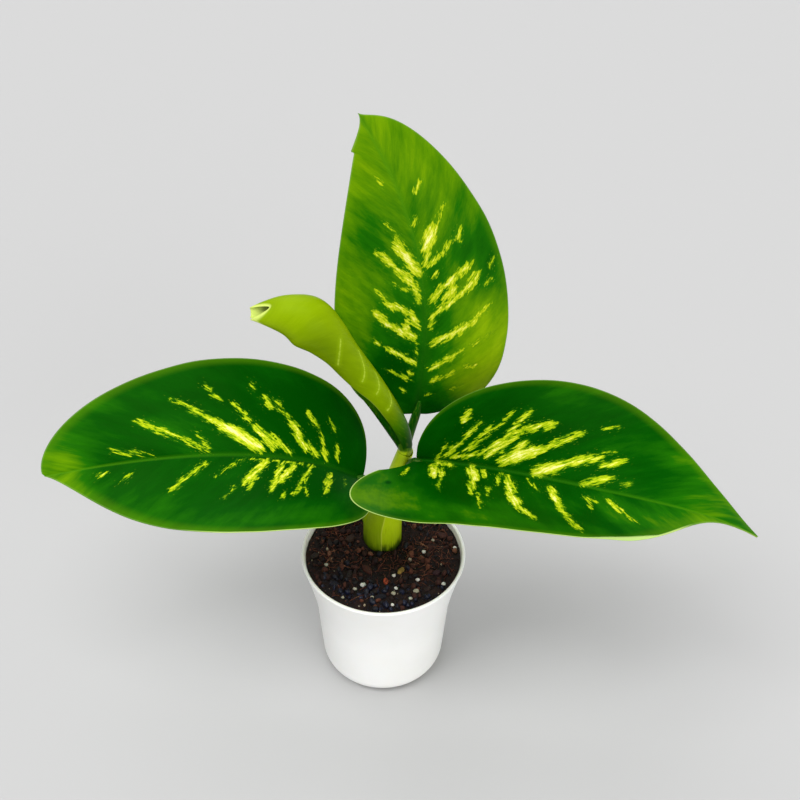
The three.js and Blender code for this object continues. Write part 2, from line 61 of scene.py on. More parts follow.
POT = Sizes(
    height=96.0, base_radius=40.2, straight_top_radius=46.5, flare=6.0, flare_from=50.0, flare_power=1.5,
    wall=1.8, lip_width=2.2, lip_rounding=0.9, lip_height=3.6, floor_top=4.0, outer_rounding=11.0,
    inner_rounding=9.0, foot_width=4.5, foot_ease=0.3, recess=2.0, recess_slope=1.0, pad_radius=9.0,
    pad_ease=0.2, drain_holes=8, drain_hole_radius=2.0, drain_hole_sides=24, drain_ring_radius=17.0,
    drill_past=1.0, sides=192, lip_steps=6, foot_steps=14, wall_steps=34, inner_wall_steps=30,
    inner_foot_steps=10, inside_share=0.8, floor_slack=0.5, sharp_angle=50.0,
)
MIX = Sizes(
    top_at_wall=92.8, top_in_middle=89.8, lump_height=0.35, lumps_per_mm=0.3, gap=0.5, floor_gap=0.3,
    stem_drop=1.2, wall_drop=2.5, sides=260, rings=95, stem_steps=8, foot_steps=6, wall_steps=16,
)

# How high and how wide the bed's clods, humps and crumbs are, and what their heights are then multiplied by.
CLODS = Sizes(height=0.75, size=7.0)
HUMPS = Sizes(height=0.55, size=3.1)
GRIT = Sizes(height=0.4, size=1.4)
RELIEF = 1.2

# In front of front_y a crumb is more often large, and the mix is darker the further it lies past dark_from.
CRUMBS = Sizes(
    front_y=-14.0, front_power=1.3, back_power=2.6, width=(0.55, 0.9), thickness=(0.4, 0.8), roughness=0.34,
    roughness_scale=1.7, sunk=(0.1, 0.4), dark_from=-8.0, dark_over=22.0, back_shades=(0.15, 0.7),
    front_shade=0.8, front_shade_power=2.2, pale_above=0.985, margin=0.6, clear_of_grains=0.3,
)
LARGE_CRUMBS = Sizes(count=700, divisions=2, sizes=(1.3, 5.4), seed=11)
SMALL_CRUMBS = Sizes(count=3000, divisions=1, sizes=(0.5, 1.4), seed=12)

# A strand is left out where it would leave the bed, and most are left out in front of front_y.
FIBRES = Sizes(
    tries=420, seed=23, margin=1.6, front_y=-12.0, front_left_out=0.85, length=(4, 13), curl=0.09, wave=0.25,
    waves_per_mm=(0.3, 0.9), wall_gap=1.2, stem_clearance=13.8, arch=(0.2, 1.6), arch_start=0.1,
    arch_end=(0.7, 1), lift=0.15, radius=(0.09, 0.2), taper=(1.1, 0.5), points=9, sides=5,
)

# The rounding's levels and kind, and how far and how finely a piece is roughened, in mm.
PERLITE = Sizes(levels=3, kind="CATMULL_CLARK", depth=0.9, grain=0.9)
BARK = Sizes(levels=3, kind="SIMPLE", depth=0.9, grain=1.8)
CORK = Sizes(levels=1, kind="SIMPLE", depth=0, grain=1.0)
ROUGHNESS = Sizes(detail=3, middle=0.2)

SHOOT = Sizes(x=-1.0, y=17.0, lean_from=105.0, lean_to=163.0, lean=13.0, lean_power=1.3)
STEM_HOLE = Sizes(radius=12.9, foot=61.7)

# Foot and top heights, outer radii there, the wall, the turn of the seam round the shoot in degrees, and
# how far the mouth dips at the seam. The colours run from the foot to the mouth, then out the petiole. The
# dark first colour of the left sheath is painted shade where it goes into the mix.
SHEATHS = {
    "leaf_left": Sizes(
        foot=84, top=133, outer=(12.6, 12.2), wall=2.4, seam_turn=-92, mouth_depth=4,
        # The dark foot colour here is painted shade where the sheath goes into the mix.
        sheath_colours=("3f560a", "9db70e", "b4cf12", "a6c412"), petiole_colours=("4f8a0a", "0b4a04"),
    ),
    "leaf_right": Sizes(
        foot=99, top=151, outer=(9.4, 7.7), wall=2.0, seam_turn=160, mouth_depth=12,
        sheath_colours=("a6c40e", "a4bd12", "8fb012", "6a9810"), petiole_colours=("2f6e08", "0a4404"),
    ),
    "leaf_back": Sizes(
        foot=112, top=167, outer=(6.5, 5.2), wall=1.4, seam_turn=-30, mouth_depth=3,
        sheath_colours=("b6cc14", "c2d418", "ccdc1c", "c4dc1a"), petiole_colours=("1f6a06", "0a5203"),
    ),
}
YOUNG_SHEATH = Sizes(
    foot=125, top=168, outer=(9, 9), seam_turn=90,
    sheath_colours=("b6cc14", "c2d418", "ccdc1c", "b6d216"), petiole_colours=("4a7802", "3a6802"),
)

# Turns round the shoot are in degrees. The margin that lies under the other is tucked in.
SEAM = Sizes(
    overlap=14.0, edge_wall=0.9, mouth_spread=55.0, line_half_width=0.3, tuck=1.0, edge_spread=40.0,
    over_edge_drop=0.25, mouth_taper=8.0, mouth_wall=0.35, rows=60, columns=120,
)
STALK = Sizes(
    points=40, sides=32, voxel=0.46, smoothing=0.5, smooth_steps=6, petiole_starts=1.02, petiole_ease=0.2,
    top_ease=0.04,
)

# A half's fold is its angle to the flat at the midrib in degrees, at the base and at the tip, and its curl
# is how far it then turns on the way to its margin. Its sweep moves the margin towards the tip.
# A tooth is a small tear of the margin and a turned edge shows the underside, both as shares of the length.
# A streak is (along, across, along, across, half width): where it starts by the midrib, where it
# ends, and how wide its widest part is. Across is positive on the half to the left of the midrib.
# A tone is (along, across, reach along, reach across, amount): above 0 lighter, below 0 darker. The tones are
# partly the leaf's own mottling and partly painted sheen and painted shade, where the blade is lit and where
# it is shaded.
LEAVES = {
    "leaf_left": Sizes(
        midrib=[(-13, 9, 149), (-50, -2, 188), (-120, -13, 190), (-194, -24, 178)],
        face=(0.07, -0.44, 0.89), twist=-12, tip_hook=(0, 0, 0), tone=0.04,
        streak_width=1.25,
        left=Sizes(
            width=56, base_power=0.47, tip_power=1.2, fold=(33.5, -10.5), curl=-8,
            sweep=(-0.17, 1.07), vein_slope=(0.25, 1.5), pale_to=0.5,
        ),
        right=Sizes(
            width=59, base_power=0.355, tip_power=0.755, fold=(8.5, 11.5), curl=-4,
            sweep=(0.07, 0.84), vein_slope=(0.5, 1.9),
        ),
        petiole=[(-10.5, 15, 108), (-10.5, 14, 126), (-11.5, 12, 140), (-13, 9, 149), (-17, 7.6, 151.5)],
        petiole_radii=(3.4, 3.6, 3.4, 3.2, 1.4),
        streaks=[
            (31, 8, 38, 26, 2.6), (20, 9, 22, 17, 0.8), (45, 5, 55, 22, 1.6), (53, 22, 60, 29, 1.6),
            (50, 19, 50, 28, 0.8), (57, 6, 69, 22, 3.2), (64, 5, 73, 28, 2.6), (64, 28, 67, 32, 1.6),
            (74, 4, 90, 22, 3.2), (78, 8, 86, 26, 2.0), (93, 21, 100, 30, 0.5), (88, 3, 105, 14, 0.7),
            (110, 5, 131, 22, 1.7), (163, 5, 168, 6, 1.3), (150, 7, 157, 12, 0.6), (42, 4, 84, 3, 0.8),
            (24, -5, 28, -16, 1.6), (33, -3, 39, -17, 2.1), (39, -18, 47, -27, 0.8),
            (45, -24, 50, -31, 2.4), (40, -4, 52, -12, 2.4), (49, -7, 60, -23, 3.3),
            (59, -21, 71, -35, 1.8), (73, -30, 78, -38, 2.2), (58, -3, 80, -16, 2.0),
            (70, -5, 84, -20, 2.8), (83, -19, 96, -32, 1.5), (102, -33, 108, -37, 1.4),
            (108, -39, 112, -43, 1.0), (64, -8, 72, -14, 1.0), (78, -4, 105, -20, 5.0),
            (100, -17, 122, -31, 2.3), (121, -30, 130, -35, 1.2), (108, -2, 127, -13, 1.6),
            (124, -11, 148, -24, 1.9), (150, -4, 160, -9, 1.4), (138, -2, 150, -6, 0.6),
            (108, -5, 115, -14, 0.9), (30, -22, 35, -29, 0.9), (83, -40, 86, -45, 0.9),
        ],
        tones=[
            (10, 26, 14, 20, 0.28), (60, 46, 60, 12, 0.24), (128, 22, 34, 20, 0.16),
            (64, 16, 44, 14, -0.15), (150, 38, 26, 6, 0.16), (130, -20, 18, 10, 0.24),
            (184, 0, 16, 26, 0.46), (60, -34, 60, 20, -0.12), (168, -36, 24, 6, 0.16),
            (104, -8, 20, 8, 0.14), (92, 14, 14, 8, 0.12),
        ],
    ),
    "leaf_right": Sizes(
        midrib=[(19, 5, 170), (85, -11, 180), (148, -29, 170), (213, -31, 161)],
        face=(0.12, -0.4, 0.92), twist=-4, tip_hook=(5, -5, -10), tone=0.12,
        streak_width=1.5,
        left=Sizes(
            width=57.3, base_power=0.4, tip_power=0.945, fold=(66, -22), curl=-7.5,
            sweep=(0.2, 0.61), vein_slope=(0.9, 1.9),
        ),
        right=Sizes(
            width=57.5, base_power=0.454, tip_power=1.98, fold=(30, 2), curl=20.5,
            sweep=(-1.35, 1.73), sweep_ease=0.36, base_swell=(0.66, 0.126), vein_slope=(0.1, 1.4),
            pale_to=0.75, turned_edge=(0.32, 0.58, 2.4),
        ),
        petiole=[(7.6, 15.5, 126), (13, 13, 146), (15.5, 9.5, 160), (19, 5, 168), (25, 3.5, 168)],
        petiole_radii=(1.8, 3.1, 3.2, 2.8, 1.2),
        streaks=[
            (29, 28, 33, 37, 2.0), (13, 1, 20, 14, 1.0), (17, 3, 31, 18, 1.4), (30, 17, 39, 29, 1.4),
            (22, 4, 40, 8, 1.8), (28, 7, 46, 27, 1.1), (30, 7, 58, 38, 1.0), (40, 8, 56, 23, 1.7),
            (54, 22, 66, 39, 1.9), (43, 7, 61, 24, 2.6), (58, 23, 78, 33, 2.1), (73, 29, 80, 33, 2.3),
            (57, 8, 66, 21, 2.6), (52, 5, 78, 18, 3.8), (76, 17, 98, 31, 2.0), (73, 2, 92, 11, 3.8),
            (88, 10, 112, 19, 2.6), (111, 13, 126, 21, 1.9), (108, 35, 117, 38, 0.9),
            (102, 1, 121, 9, 2.0), (125, 5, 131, 8, 0.7), (98, 16, 118, 24, 0.6), (13, -1, 26, -3, 2.0),
            (12, -5, 16, -18, 3.2), (18, -7, 20, -20, 1.7), (19, -20, 21, -30, 0.5),
            (35, -2, 40, -15, 3.6), (42, -3, 44, -10, 2.1), (38, -13, 40, -29, 2.4),
            (43, -26, 48, -42, 1.0), (48, -18, 50, -30, 0.9), (51, -4, 53, -15, 1.1),
            (53, -2, 60, -6, 1.1), (57, -6, 64, -26, 2.6), (62, -21, 67, -31, 4.2),
            (65, -29, 79, -41, 2.5), (62, -9, 65, -18, 0.7), (70, -4, 77, -13, 1.0),
            (84, -7, 90, -22, 3.0), (89, -20, 105, -45, 2.2), (104, -9, 112, -11, 1.4),
            (107, -13, 109, -18, 0.9), (118, -8, 128, -15, 2.0), (127, -14, 135, -21, 0.9),
            (-2, -10, -4, -19, 1.1),
        ],
        tones=[
            (60, 30, 70, 26, -0.12), (150, 32, 30, 7, 0.20), (178, 4, 30, 20, 0.30),
            (-14, -36, 24, 30, 0.28), (24, -26, 18, 20, -0.16), (60, -50, 40, 12, 0.20),
            (108, -20, 7, 12, -0.16), (112, 26, 20, 9, 0.14), (130, -14, 30, 14, 0.24),
            (82, 50, 22, 8, 0.20), (8, -50, 30, 16, 0.24), (-9, -29, 1.6, 1.6, -0.6),
        ],
    ),
    "leaf_back": Sizes(
        midrib=[(19, 27, 187), (29, 36, 243), (26, 48, 301), (-16, 60.5, 363)],
        face=(0.13, -0.91, 0.32), twist=2, tip_hook=(0, 0, 0), tone=0.43, rib_width=2.5,
        tip_trim=0.03, streak_width=1.65,
        left=Sizes(
            width=53.4, base_power=0.433, tip_power=1.04, fold=(6.2, 6.3), curl=-16,
            sweep=(-0.2, 0.67), vein_slope=(0.3, 1.6), tooth=(0.885, 0.965, 3.0),
        ),
        right=Sizes(
            width=51.4, base_power=0.25, tip_power=0.69, fold=(7.5, -2), curl=-32,
            sweep=(0.27, 0.4), vein_slope=(0.4, 1.2),
        ),
        petiole=[(8.8, 18.5, 148), (11.8, 22, 158), (15, 25.5, 172), (19, 27.8, 187), (21, 29.9, 195.5)],
        petiole_radii=(1.6, 2.8, 2.9, 2.7, 1.4),
        streaks=[
            (17, 10, 19, 13, 0.8), (25, 7, 33, 23, 1.1), (28, 8, 33, 9, 1.3), (37, 6, 43, 13, 2.0),
            (42, 12, 50, 26, 2.1), (37, 6, 50, 6, 0.7), (51, 28, 57, 31, 1.2), (52, 6, 62, 12, 1.3),
            (57, 8, 66, 23, 3.0), (60, 12, 69, 12, 2.2), (64, 21, 78, 31, 2.6), (63, 5, 76, 11, 2.2),
            (73, 9, 84, 26, 2.5), (83, 23, 92, 28, 1.3), (80, 4, 92, 7, 1.9), (88, 8, 96, 20, 0.9),
            (88, 4, 106, 16, 2.4), (97, 6, 108, 19, 1.7), (108, 17, 118, 23, 2.3), (98, 2, 122, 13, 3.2),
            (110, 7, 126, 11, 1.5), (127, 11, 136, 15, 0.5), (153, 7, 159, 9, 1.1), (15, -4, 17, -6, 0.7),
            (21, -18, 24, -24, 1.0), (25, -4, 34, -20, 1.3), (36, -24, 37, -32, 1.2),
            (34, -3, 48, -24, 1.8), (48, -24, 57, -42, 0.7), (51, -3, 58, -15, 2.5),
            (55, -11, 65, -30, 2.6), (66, -29, 73, -40, 1.3), (62, -2, 72, -4, 1.4),
            (71, -4, 84, -25, 2.2), (79, -11, 87, -19, 2.7), (83, -24, 92, -34, 2.8),
            (84, -37, 87, -41, 1.4), (79, -3, 90, -12, 2.1), (87, -11, 98, -31, 2.4),
            (93, -41, 98, -44, 1.2), (93, -6, 97, -9, 1.0), (101, -3, 108, -16, 1.8),
            (107, -14, 113, -21, 1.2), (111, -24, 118, -27, 1.5), (102, -2, 115, -7, 1.9),
            (111, -4, 124, -13, 3.8), (123, -13, 132, -22, 1.0), (126, -1, 131, -4, 1.3),
            (142, -8, 147, -14, 1.2),
        ],
        tones=[
            (30, 18, 24, 18, -0.42), (94, 42, 36, 18, 0.18), (132, 26, 20, 8, -0.18),
            (122, 46, 26, 6, -0.16), (160, 8, 34, 26, 0.16), (36, -38, 40, 22, 0.46),
            (4, -14, 12, 16, -0.34), (100, -42, 30, 9, -0.24), (104, -24, 8, 8, -0.18),
            (138, -18, 24, 16, 0.06), (66, -8, 34, 8, -0.12), (66, 12, 34, 10, -0.12),
        ],
    ),
}

# Shares run from 0 at the base to 1 at the tip. A fall is the share of a size that is gone at the tip.
BLADE = Sizes(
    rows=192, columns=121, length_steps=200, first_share=0.002, last_share=0.997, side_ease=0.4,
    thickness=0.8, margin_thickness=0.4, margin_power=40, margin_thinning=0.5, rib_depth=3.2,
    rib_depth_power=0.8, rib_half_width=4.0, rib_width_fall=0.7, rib_steepness=1.6, groove_depth=0.7,
    groove_depth_fall=0.8, groove_half_width=1.9, groove_width_fall=0.75, rib_line_width=0.9,
    rib_line_fall=0.72, sweep_ease=0.7, early_sweep=0.45, tooth_power=1.5, tooth_return=0.01, tooth_reach=5,
)
VEINS = Sizes(
    spacing=9.0, groove_depth=0.04, groove_half_width=1.0, swell=0.05, bend=0.0026, unevenness=0.18,
    unevenness_length=11.0, stagger=0.25, clear_of_rib=5.0, clear_of_margin=7.0,
)
DENTS = Sizes(depth=0.5, size=26.0, clear_of_rib=12.0)
MARGIN_WAVE = Sizes(height=0.9, size=17.0, lengthening=0.2, reach=4, ends=6)

# A streak's width rises from its start and falls to its end with these powers of the share between them.
STREAKS = Sizes(outside=-8.0, start=0.12, start_power=0.35, end_power=0.4)
MARGIN = Sizes(pale_least=0.12, pale_fade=0.1, turned_fade=0.4, tone_rise=0.1, tip_tone_rise=0.06)

# Keeps the noise patterns of a leaf's two halves apart.
OTHER_HALF = 100.0

# The young leaf is rolled round its axis. Its radius, and how far each half wraps round from the midrib in
# degrees, are (share of the length, value). Its end is cut back aslant by slant mm. An arc is a pale line
# on its outer half, bent through (share along, share across) points.
YOUNG_LEAF = Sizes(
    axis=[(12, 17, 169), (4.5, 13, 208.5), (-34.5, 3, 254.5), (-28, 3, 280.5), (-73, 6, 272)],
    face=(0, -0.78, 0.62), midrib_angle=230, layer_gap=1.3, flatness=0.75, end_flatness=0.5,
    radius=[
        (0, 4.2), (0.1, 6.7), (0.3, 8.2), (0.5, 8.9), (0.62, 11.4), (0.75, 13.9), (0.85, 10.7), (0.93, 7.4),
        (1, 2.7),
    ],
    outer_turn=[
        (0, 150), (0.1, 155), (0.2, 160), (0.3, 170), (0.4, 203), (0.5, 232), (0.7, 235), (1, 235),
    ],
    inner_turn=[(0, 240), (0.1, 250), (0.3, 290), (0.7, 330), (0.85, 150), (1, 130)],
    thickness=0.7, slant=12, slant_from=0.8, slant_angles=(-5, 200), slant_lean=1.6, least_radius=0.4,
    petiole=[(2.4, 17, 125), (7.3, 17, 146), (11, 17, 160), (12.7, 17, 167), (10.8, 16.3, 176)],
    petiole_radii=(2.6, 2.7, 3.0, 4.4, 4.2),
    rows=184, columns=141, end_gap=0.004, length=136.0, half_width=40.0, end_power=0.6, vein_slope=0.9,
    vein_spread=0.006, relief=(0.3, 18), arc_points=60, arc_half_width=0.35,
    arcs=[
        [(0.60, -0.50), (0.56, -0.60), (0.51, -0.76)], [(0.49, -0.36), (0.41, -0.50), (0.39, -0.74)],
        [(0.37, -0.40), (0.32, -0.54), (0.31, -0.77)], [(0.275, -0.43), (0.23, -0.55), (0.226, -0.83)],
    ],
)

# Places and reaches are shares, along and then across. The darker strip rolled inside and the darker base,
# down among the sheaths, are painted shade.
YOUNG_SHADE = Sizes(
    tone=0.76, tip_rise=0.16, middle=0.3, middle_at=(0.64, -0.72), middle_reach=(0.2, 0.24),
    inner_strip=0.65, strip_end=0.75, strip_fade=4, base=0.7, base_reach=0.2,
)
# The end of the inner half is paled from further back than the outer half's pale rim; that paling is painted
# light, which lifts the shade inside the end of the roll.
YOUNG_PALE = Sizes(
    width=0.55, widening=0.5, fade=0.3, base_from=0.16, base_over=0.14, inner=0.2, end=0.9, inner_end=0.93,
    outer_end=0.972, end_over=0.012,
)

# Colours of the twelve chips of bark, in the order of their nodes.
CHIP_COLOURS = [
    "a8863c", "b04a2a", "3c2227", "14141f", "171826", "241a18", "4a2418", "2b1a17", "3a2417", "2a1c18",
    "45241d", "2c2019",
]
PERLITE_COLOURS = ["dedcd2", "b9b6a2", "e2e0d6", "a39f88"]

# Colours at places from 0 to 1, for the ramps of the surfaces.
LEAF_GREENS = [
    (0.0, "003f00"), (0.2, "034a01"), (0.42, "1a6202"), (0.64, "568602"), (0.85, "7da204"), (1.0, "93b20a"),
]
RIB_GREENS = [(0.0, "0a4a03"), (0.3, "1d5c04"), (0.6, "357606"), (1, "4f860a")]
CREAMS = [(0.0, "568208"), (0.15, "86a80a"), (0.36, "b2c410"), (0.6, "d4da38"), (0.9, "efee98")]
UNDERSIDE_GREENS = [(0.0, "3d7420"), (0.6, "729c38"), (1.0, "a9bf60")]
YOUNG_GREENS = [(0.0, "0b4a02"), (0.3, "3f6f02"), (0.55, "698601"), (0.8, "7e9b02"), (1.0, "86a306")]
PEAT_BROWNS = [(0.3, "070405"), (0.45, "120a08"), (0.55, "22120d"), (0.7, "3a2017")]
CRUMB_BROWNS = [
    (0.0, "141a33"), (0.14, "10111c"), (0.3, "120c0b"), (0.6, "3f1e14"), (0.85, "6a3c27"), (1.0, "a89a80"),
]
COIR_BROWNS = [(0.3, "2e150d"), (0.5, "6b3420"), (0.62, "8c5840"), (0.75, "b58c6c")]
NOISE_MIDDLE = (0.3, 0.7)

FLOOR = Sizes(half_side=6000.0, colour="b9b9b9")

# A sun's direction, strength and angle in degrees.
SUNS = [
    ("key", (-0.55, -0.3, 1.0), 1.4, 34),
    ("front", (0.05, -0.32, 1.0), 1.15, 34),
    ("back", (-0.25, 0.5, 1.0), 0.85, 46),
    ("side", (0.7, -1.0, 0.22), 1.5, 50),
]
SURROUND = 0.4

# ---------------------------------------------------------------- small tools


def colour(code):
    """Linear colour, with alpha, of a six-figure web code."""
    parts = [int(code[at:at + 2], 16) / 255 for at in (0, 2, 4)]
    return [*(part / 12.92 if part <= 0.04045 else ((part + 0.055) / 1.055) ** 2.4 for part in parts), 1.0]


def mix(low, high, share):
    return low + (high - low) * share


def unit(vectors):
    return vectors / np.maximum(np.linalg.norm(vectors, axis=-1, keepdims=True), 1e-12)


NUDGE = 1e-3


def facing_along(curve, share, face):
    """Unit vectors along a curve, and as near to face as lies square to it, at each share of its length."""
    along = unit(curve(share + NUDGE) - curve(share - NUDGE))
    face = unit(np.array(face, float))
    return along, unit(face - (along @ face)[:, None] * along)


def bezier(points, share):
    """Points of a Bezier curve at each share of its length, which may run a little past 0 and 1."""
    share = np.asarray(share, float)[..., None]
    levels = [np.asarray(point, float) + 0 * share for point in points]
    while len(levels) > 1:
        levels = [a + (b - a) * share for a, b in zip(levels, levels[1:])]
    return levels[0]


def eased(keys, share):
    """Value at each share of a smooth curve through (share, value) keys."""
    at, value = np.array(keys, float).T
    after = np.clip(np.searchsorted(at, share, side="left"), 1, len(at) - 1)
    before = after - 1
    step = at[after] - at[before]
    part = np.clip((share - at[before]) / step, 0, 1)
    rest = 1 - part
    key = np.arange(len(at))
    low = np.maximum(key - 1, 0)
    high = np.minimum(key + 1, len(at) - 1)
    slope = (value[high] - value[low]) / (at[high] - at[low])
    return (
        value[before] * rest * rest * (1 + 2 * part) + value[after] * part * part * (1 + 2 * rest)
        + step * part * rest * (slope[before] * rest - slope[after] * part)
    )


def circle(sides):
    """Even steps once round a circle, as (x, y) points one unit from its middle."""
    turn = np.linspace(0, 2 * math.pi, sides, endpoint=False)
    return np.stack([np.cos(turn), np.sin(turn)], axis=-1)


NOISE_CELLS = 4096
MIXING_PRIMES = (73856093, 19349663, 83492791)


def lumps(places, size, seed=0):
    """Smooth random heights from -1 to 1 that change over about size mm."""
    table = np.random.default_rng(seed).uniform(-1, 1, NOISE_CELLS)
    cell = np.asarray(places, float) / size
    low = np.floor(cell).astype(np.int64)
    share = cell - low
    share = share * share * (3 - 2 * share)
    total = np.zeros(cell.shape[:-1])
    for corner in np.ndindex(2, 2, 2):
        spot = low + np.array(corner)
        x, y, z = (spot[..., axis] * MIXING_PRIMES[axis] for axis in range(3))
        weight = np.prod(np.where(corner, share, 1 - share), axis=-1)
        total += weight * table[(x ^ y ^ z) % NOISE_CELLS]
    return total


# ---------------------------------------------------------------- meshes


def grid_faces(rows, columns, first=0, closed=False):
    """Quads of a grid of points stored row by row. A closed grid joins its last column to its first."""
    row, column = np.mgrid[0:rows - 1, 0:columns if closed else columns - 1]
    beside = (column + 1) % columns
    this_row = row * columns
    next_row = this_row + columns
    corners = [this_row + column, next_row + column, next_row + beside, this_row + beside]
    return np.stack([corner.ravel() for corner in corners], axis=-1) + first


def volume(points, faces):
    a, b, c, d = (points[faces[:, corner]] for corner in range(4))
    return (np.einsum("ij,ij->i", a, np.cross(b, c)) + np.einsum("ij,ij->i", a, np.cross(c, d))).sum()


def facing_out(points, faces):
    return faces if volume(points, faces) > 0 else faces[:, ::-1]


def closed_sheet(front, back):
    """Points and quads of a thin body between two grids of points."""
    rows, columns = front.shape[:2]
    count = rows * columns
    index = np.arange(count).reshape(rows, columns)
    rim = np.concatenate([index[0], index[1:, -1], index[-1, -2::-1], index[-2:0:-1, 0]])
    beside = np.roll(rim, -1)
    sides = np.stack([rim, beside, beside + count, rim + count], axis=-1)
    faces = np.concatenate([grid_faces(rows, columns), grid_faces(rows, columns, count)[:, ::-1], sides])
    points = np.concatenate([front.reshape(-1, 3), back.reshape(-1, 3)])
    return points, facing_out(points, faces)


def closed_loft(rings):
    """Points and quads of a body through closed rings, with a point in the middle of each end."""
    rings = np.asarray(rings, float)
    count, sides = rings.shape[:2]
    ends = np.stack([np.broadcast_to(rings[end].mean(axis=0), rings[end].shape) for end in (0, -1)])
    rows = np.concatenate([ends[:1], rings, ends[1:]])
    points = rows.reshape(-1, 3)
    return points, facing_out(points, grid_faces(count + 2, sides, closed=True))


def joined(parts):
    """One body's points and faces from several."""
    points, faces = [], []
    first = 0
    for part_points, part_faces in parts:
        points.append(part_points)
        faces.append(part_faces + first)
        first += len(part_points)
    return np.concatenate(points), np.concatenate(faces)


def add_values(mesh, values):
    for key, value in values.items():
        value = np.asarray(value, np.float32)
        vector = value.ndim == 2
        attribute = mesh.attributes.new(key, "FLOAT_VECTOR" if vector else "FLOAT", "POINT")
        attribute.data.foreach_set("vector" if vector else "value", value.ravel())


def new_object(name, data):
    made = bpy.data.objects.new(name, data)
    bpy.context.scene.collection.objects.link(made)
    return made


def new_body(name, points, faces, values=None):
    """An object from points in mm, with named values at its points."""
    mesh = bpy.data.meshes.new(name)
    mesh.from_pydata((points * MM).tolist(), [], faces.tolist())
    add_values(mesh, values or {})
    body = new_object(name, mesh)
    weld(body)
    return body


def new_piece(name, points, faces, surface, stands_for=(), values=None):
    """A smooth piece of the object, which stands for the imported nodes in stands_for."""
    piece = new_body(name, points, faces, values)
    piece.data.materials.append(surface)
    piece.data.shade_smooth()
    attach(piece, BODY)
    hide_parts(*stands_for)
    return piece


WELD_REACH = 1e-4 * MM
PACKED_WELD_REACH = 1e-3 * MM


def weld(piece):
    """Joins points that lie on each other, such as those at the ends of a loft."""
    shape = bmesh.new()
    shape.from_mesh(piece.data)
    bmesh.ops.remove_doubles(shape, verts=shape.verts, dist=WELD_REACH)
    shape.to_mesh(piece.data)
    shape.free()


def settle(piece):
    """Makes what a piece's modifiers show its own mesh."""
    bpy.context.view_layer.update()
    shown = piece.evaluated_get(bpy.context.evaluated_depsgraph_get())
    mesh = bpy.data.meshes.new_from_object(shown)
    piece.modifiers.clear()
    piece.data = mesh
    mesh.shade_smooth()


# ---------------------------------------------------------------- surfaces


class Surface:
    """A material whose nodes are added one call at a time. Each call gives back the socket it makes."""

    def __init__(self, name, settings):
        self.material = bpy.data.materials.new(name)
        self.material.use_nodes = True
        self.tree = self.material.node_tree
        self.shader = self.tree.nodes["Principled BSDF"]
        for key, value in settings.items():
            self.feed(self.shader.inputs[key], value)

    def feed(self, socket, value):
        """Gives a socket another socket's value, a plain value or the colour of a web code."""
        if isinstance(value, bpy.types.NodeSocket):
            self.tree.links.new(value, socket)
        else:
            socket.default_value = colour(value) if isinstance(value, str) else value

    def node(self, kind, inputs, **settings):
        made = self.tree.nodes.new("ShaderNode" + kind)
        for key, value in settings.items():
            setattr(made, key, value)
        for key, value in inputs.items():
            self.feed(made.inputs[key], value)
        return made

    def value(self, name):
        return self.node("Attribute", {}, attribute_name=name).outputs["Fac"]

    def vector(self, name):
        return self.node("Attribute", {}, attribute_name=name).outputs["Vector"]

    def place(self):
        return self.node("TexCoord", {}).outputs["Object"]

    def stretched(self, vector, scale):
        return self.node("Mapping", {"Vector": vector, "Scale": scale}).outputs["Vector"]

    def noise(self, vector, scale, detail=3.0, roughness=0.55):
        inputs = {"Vector": vector, "Scale": scale, "Detail": detail, "Roughness": roughness}
        return self.node("TexNoise", inputs).outputs["Fac"]

    def grain(self, vector, scales, detail=3.0, roughness=0.55):
        """Noise whose scale differs from axis to axis."""
        return self.noise(self.stretched(vector, scales), 1, detail, roughness)

    def cells(self, vector, scale):
        return self.node("TexVoronoi", {"Vector": vector, "Scale": scale}).outputs["Distance"]

    def sum(self, a, b):
        return self.node("Math", {0: a, 1: b}, operation="ADD").outputs[0]

    def product(self, a, b):
        return self.node("Math", {0: a, 1: b}, operation="MULTIPLY").outputs[0]

    def fade(self, value, low, high, to_low=0.0, to_high=1.0):
        """Goes smoothly from to_low to to_high as value goes from low to high."""
        inputs = {"Value": value, "From Min": low, "From Max": high, "To Min": to_low, "To Max": to_high}
        return self.node("MapRange", inputs, interpolation_type="SMOOTHSTEP").outputs["Result"]

    def vary(self, noise, low=0.0, high=1.0):
        """Goes from low to high over the range in which nearly all of a noise lies."""
        return self.fade(noise, *NOISE_MIDDLE, low, high)

    def blend(self, amount, a, b):
        return self.node("Mix", {0: amount, 6: a, 7: b}, data_type="RGBA").outputs[2]

    def ramp(self, value, stops):
        made = self.node("ValToRGB", {"Fac": value})
        stops_made = made.color_ramp.elements
        while len(stops_made) < len(stops):
            stops_made.new(0.5)
        for stop, (at, code) in zip(stops_made, stops):
            stop.position = at
            stop.color = colour(code)
        return made.outputs["Color"]

    def bump(self, height, distance, strength=1.0, normal=None):
        inputs = {"Height": height, "Distance": distance * MM, "Strength": strength}
        if normal is not None:
            inputs["Normal"] = normal
        return self.node("Bump", inputs).outputs["Normal"]

    def finish(self, base, roughness=None, normal=None):
        self.feed(self.shader.inputs["Base Color"], base)
        if roughness is not None:
            self.feed(self.shader.inputs["Roughness"], roughness)
        if normal is not None:
            self.feed(self.shader.inputs["Normal"], normal)
        return self.material


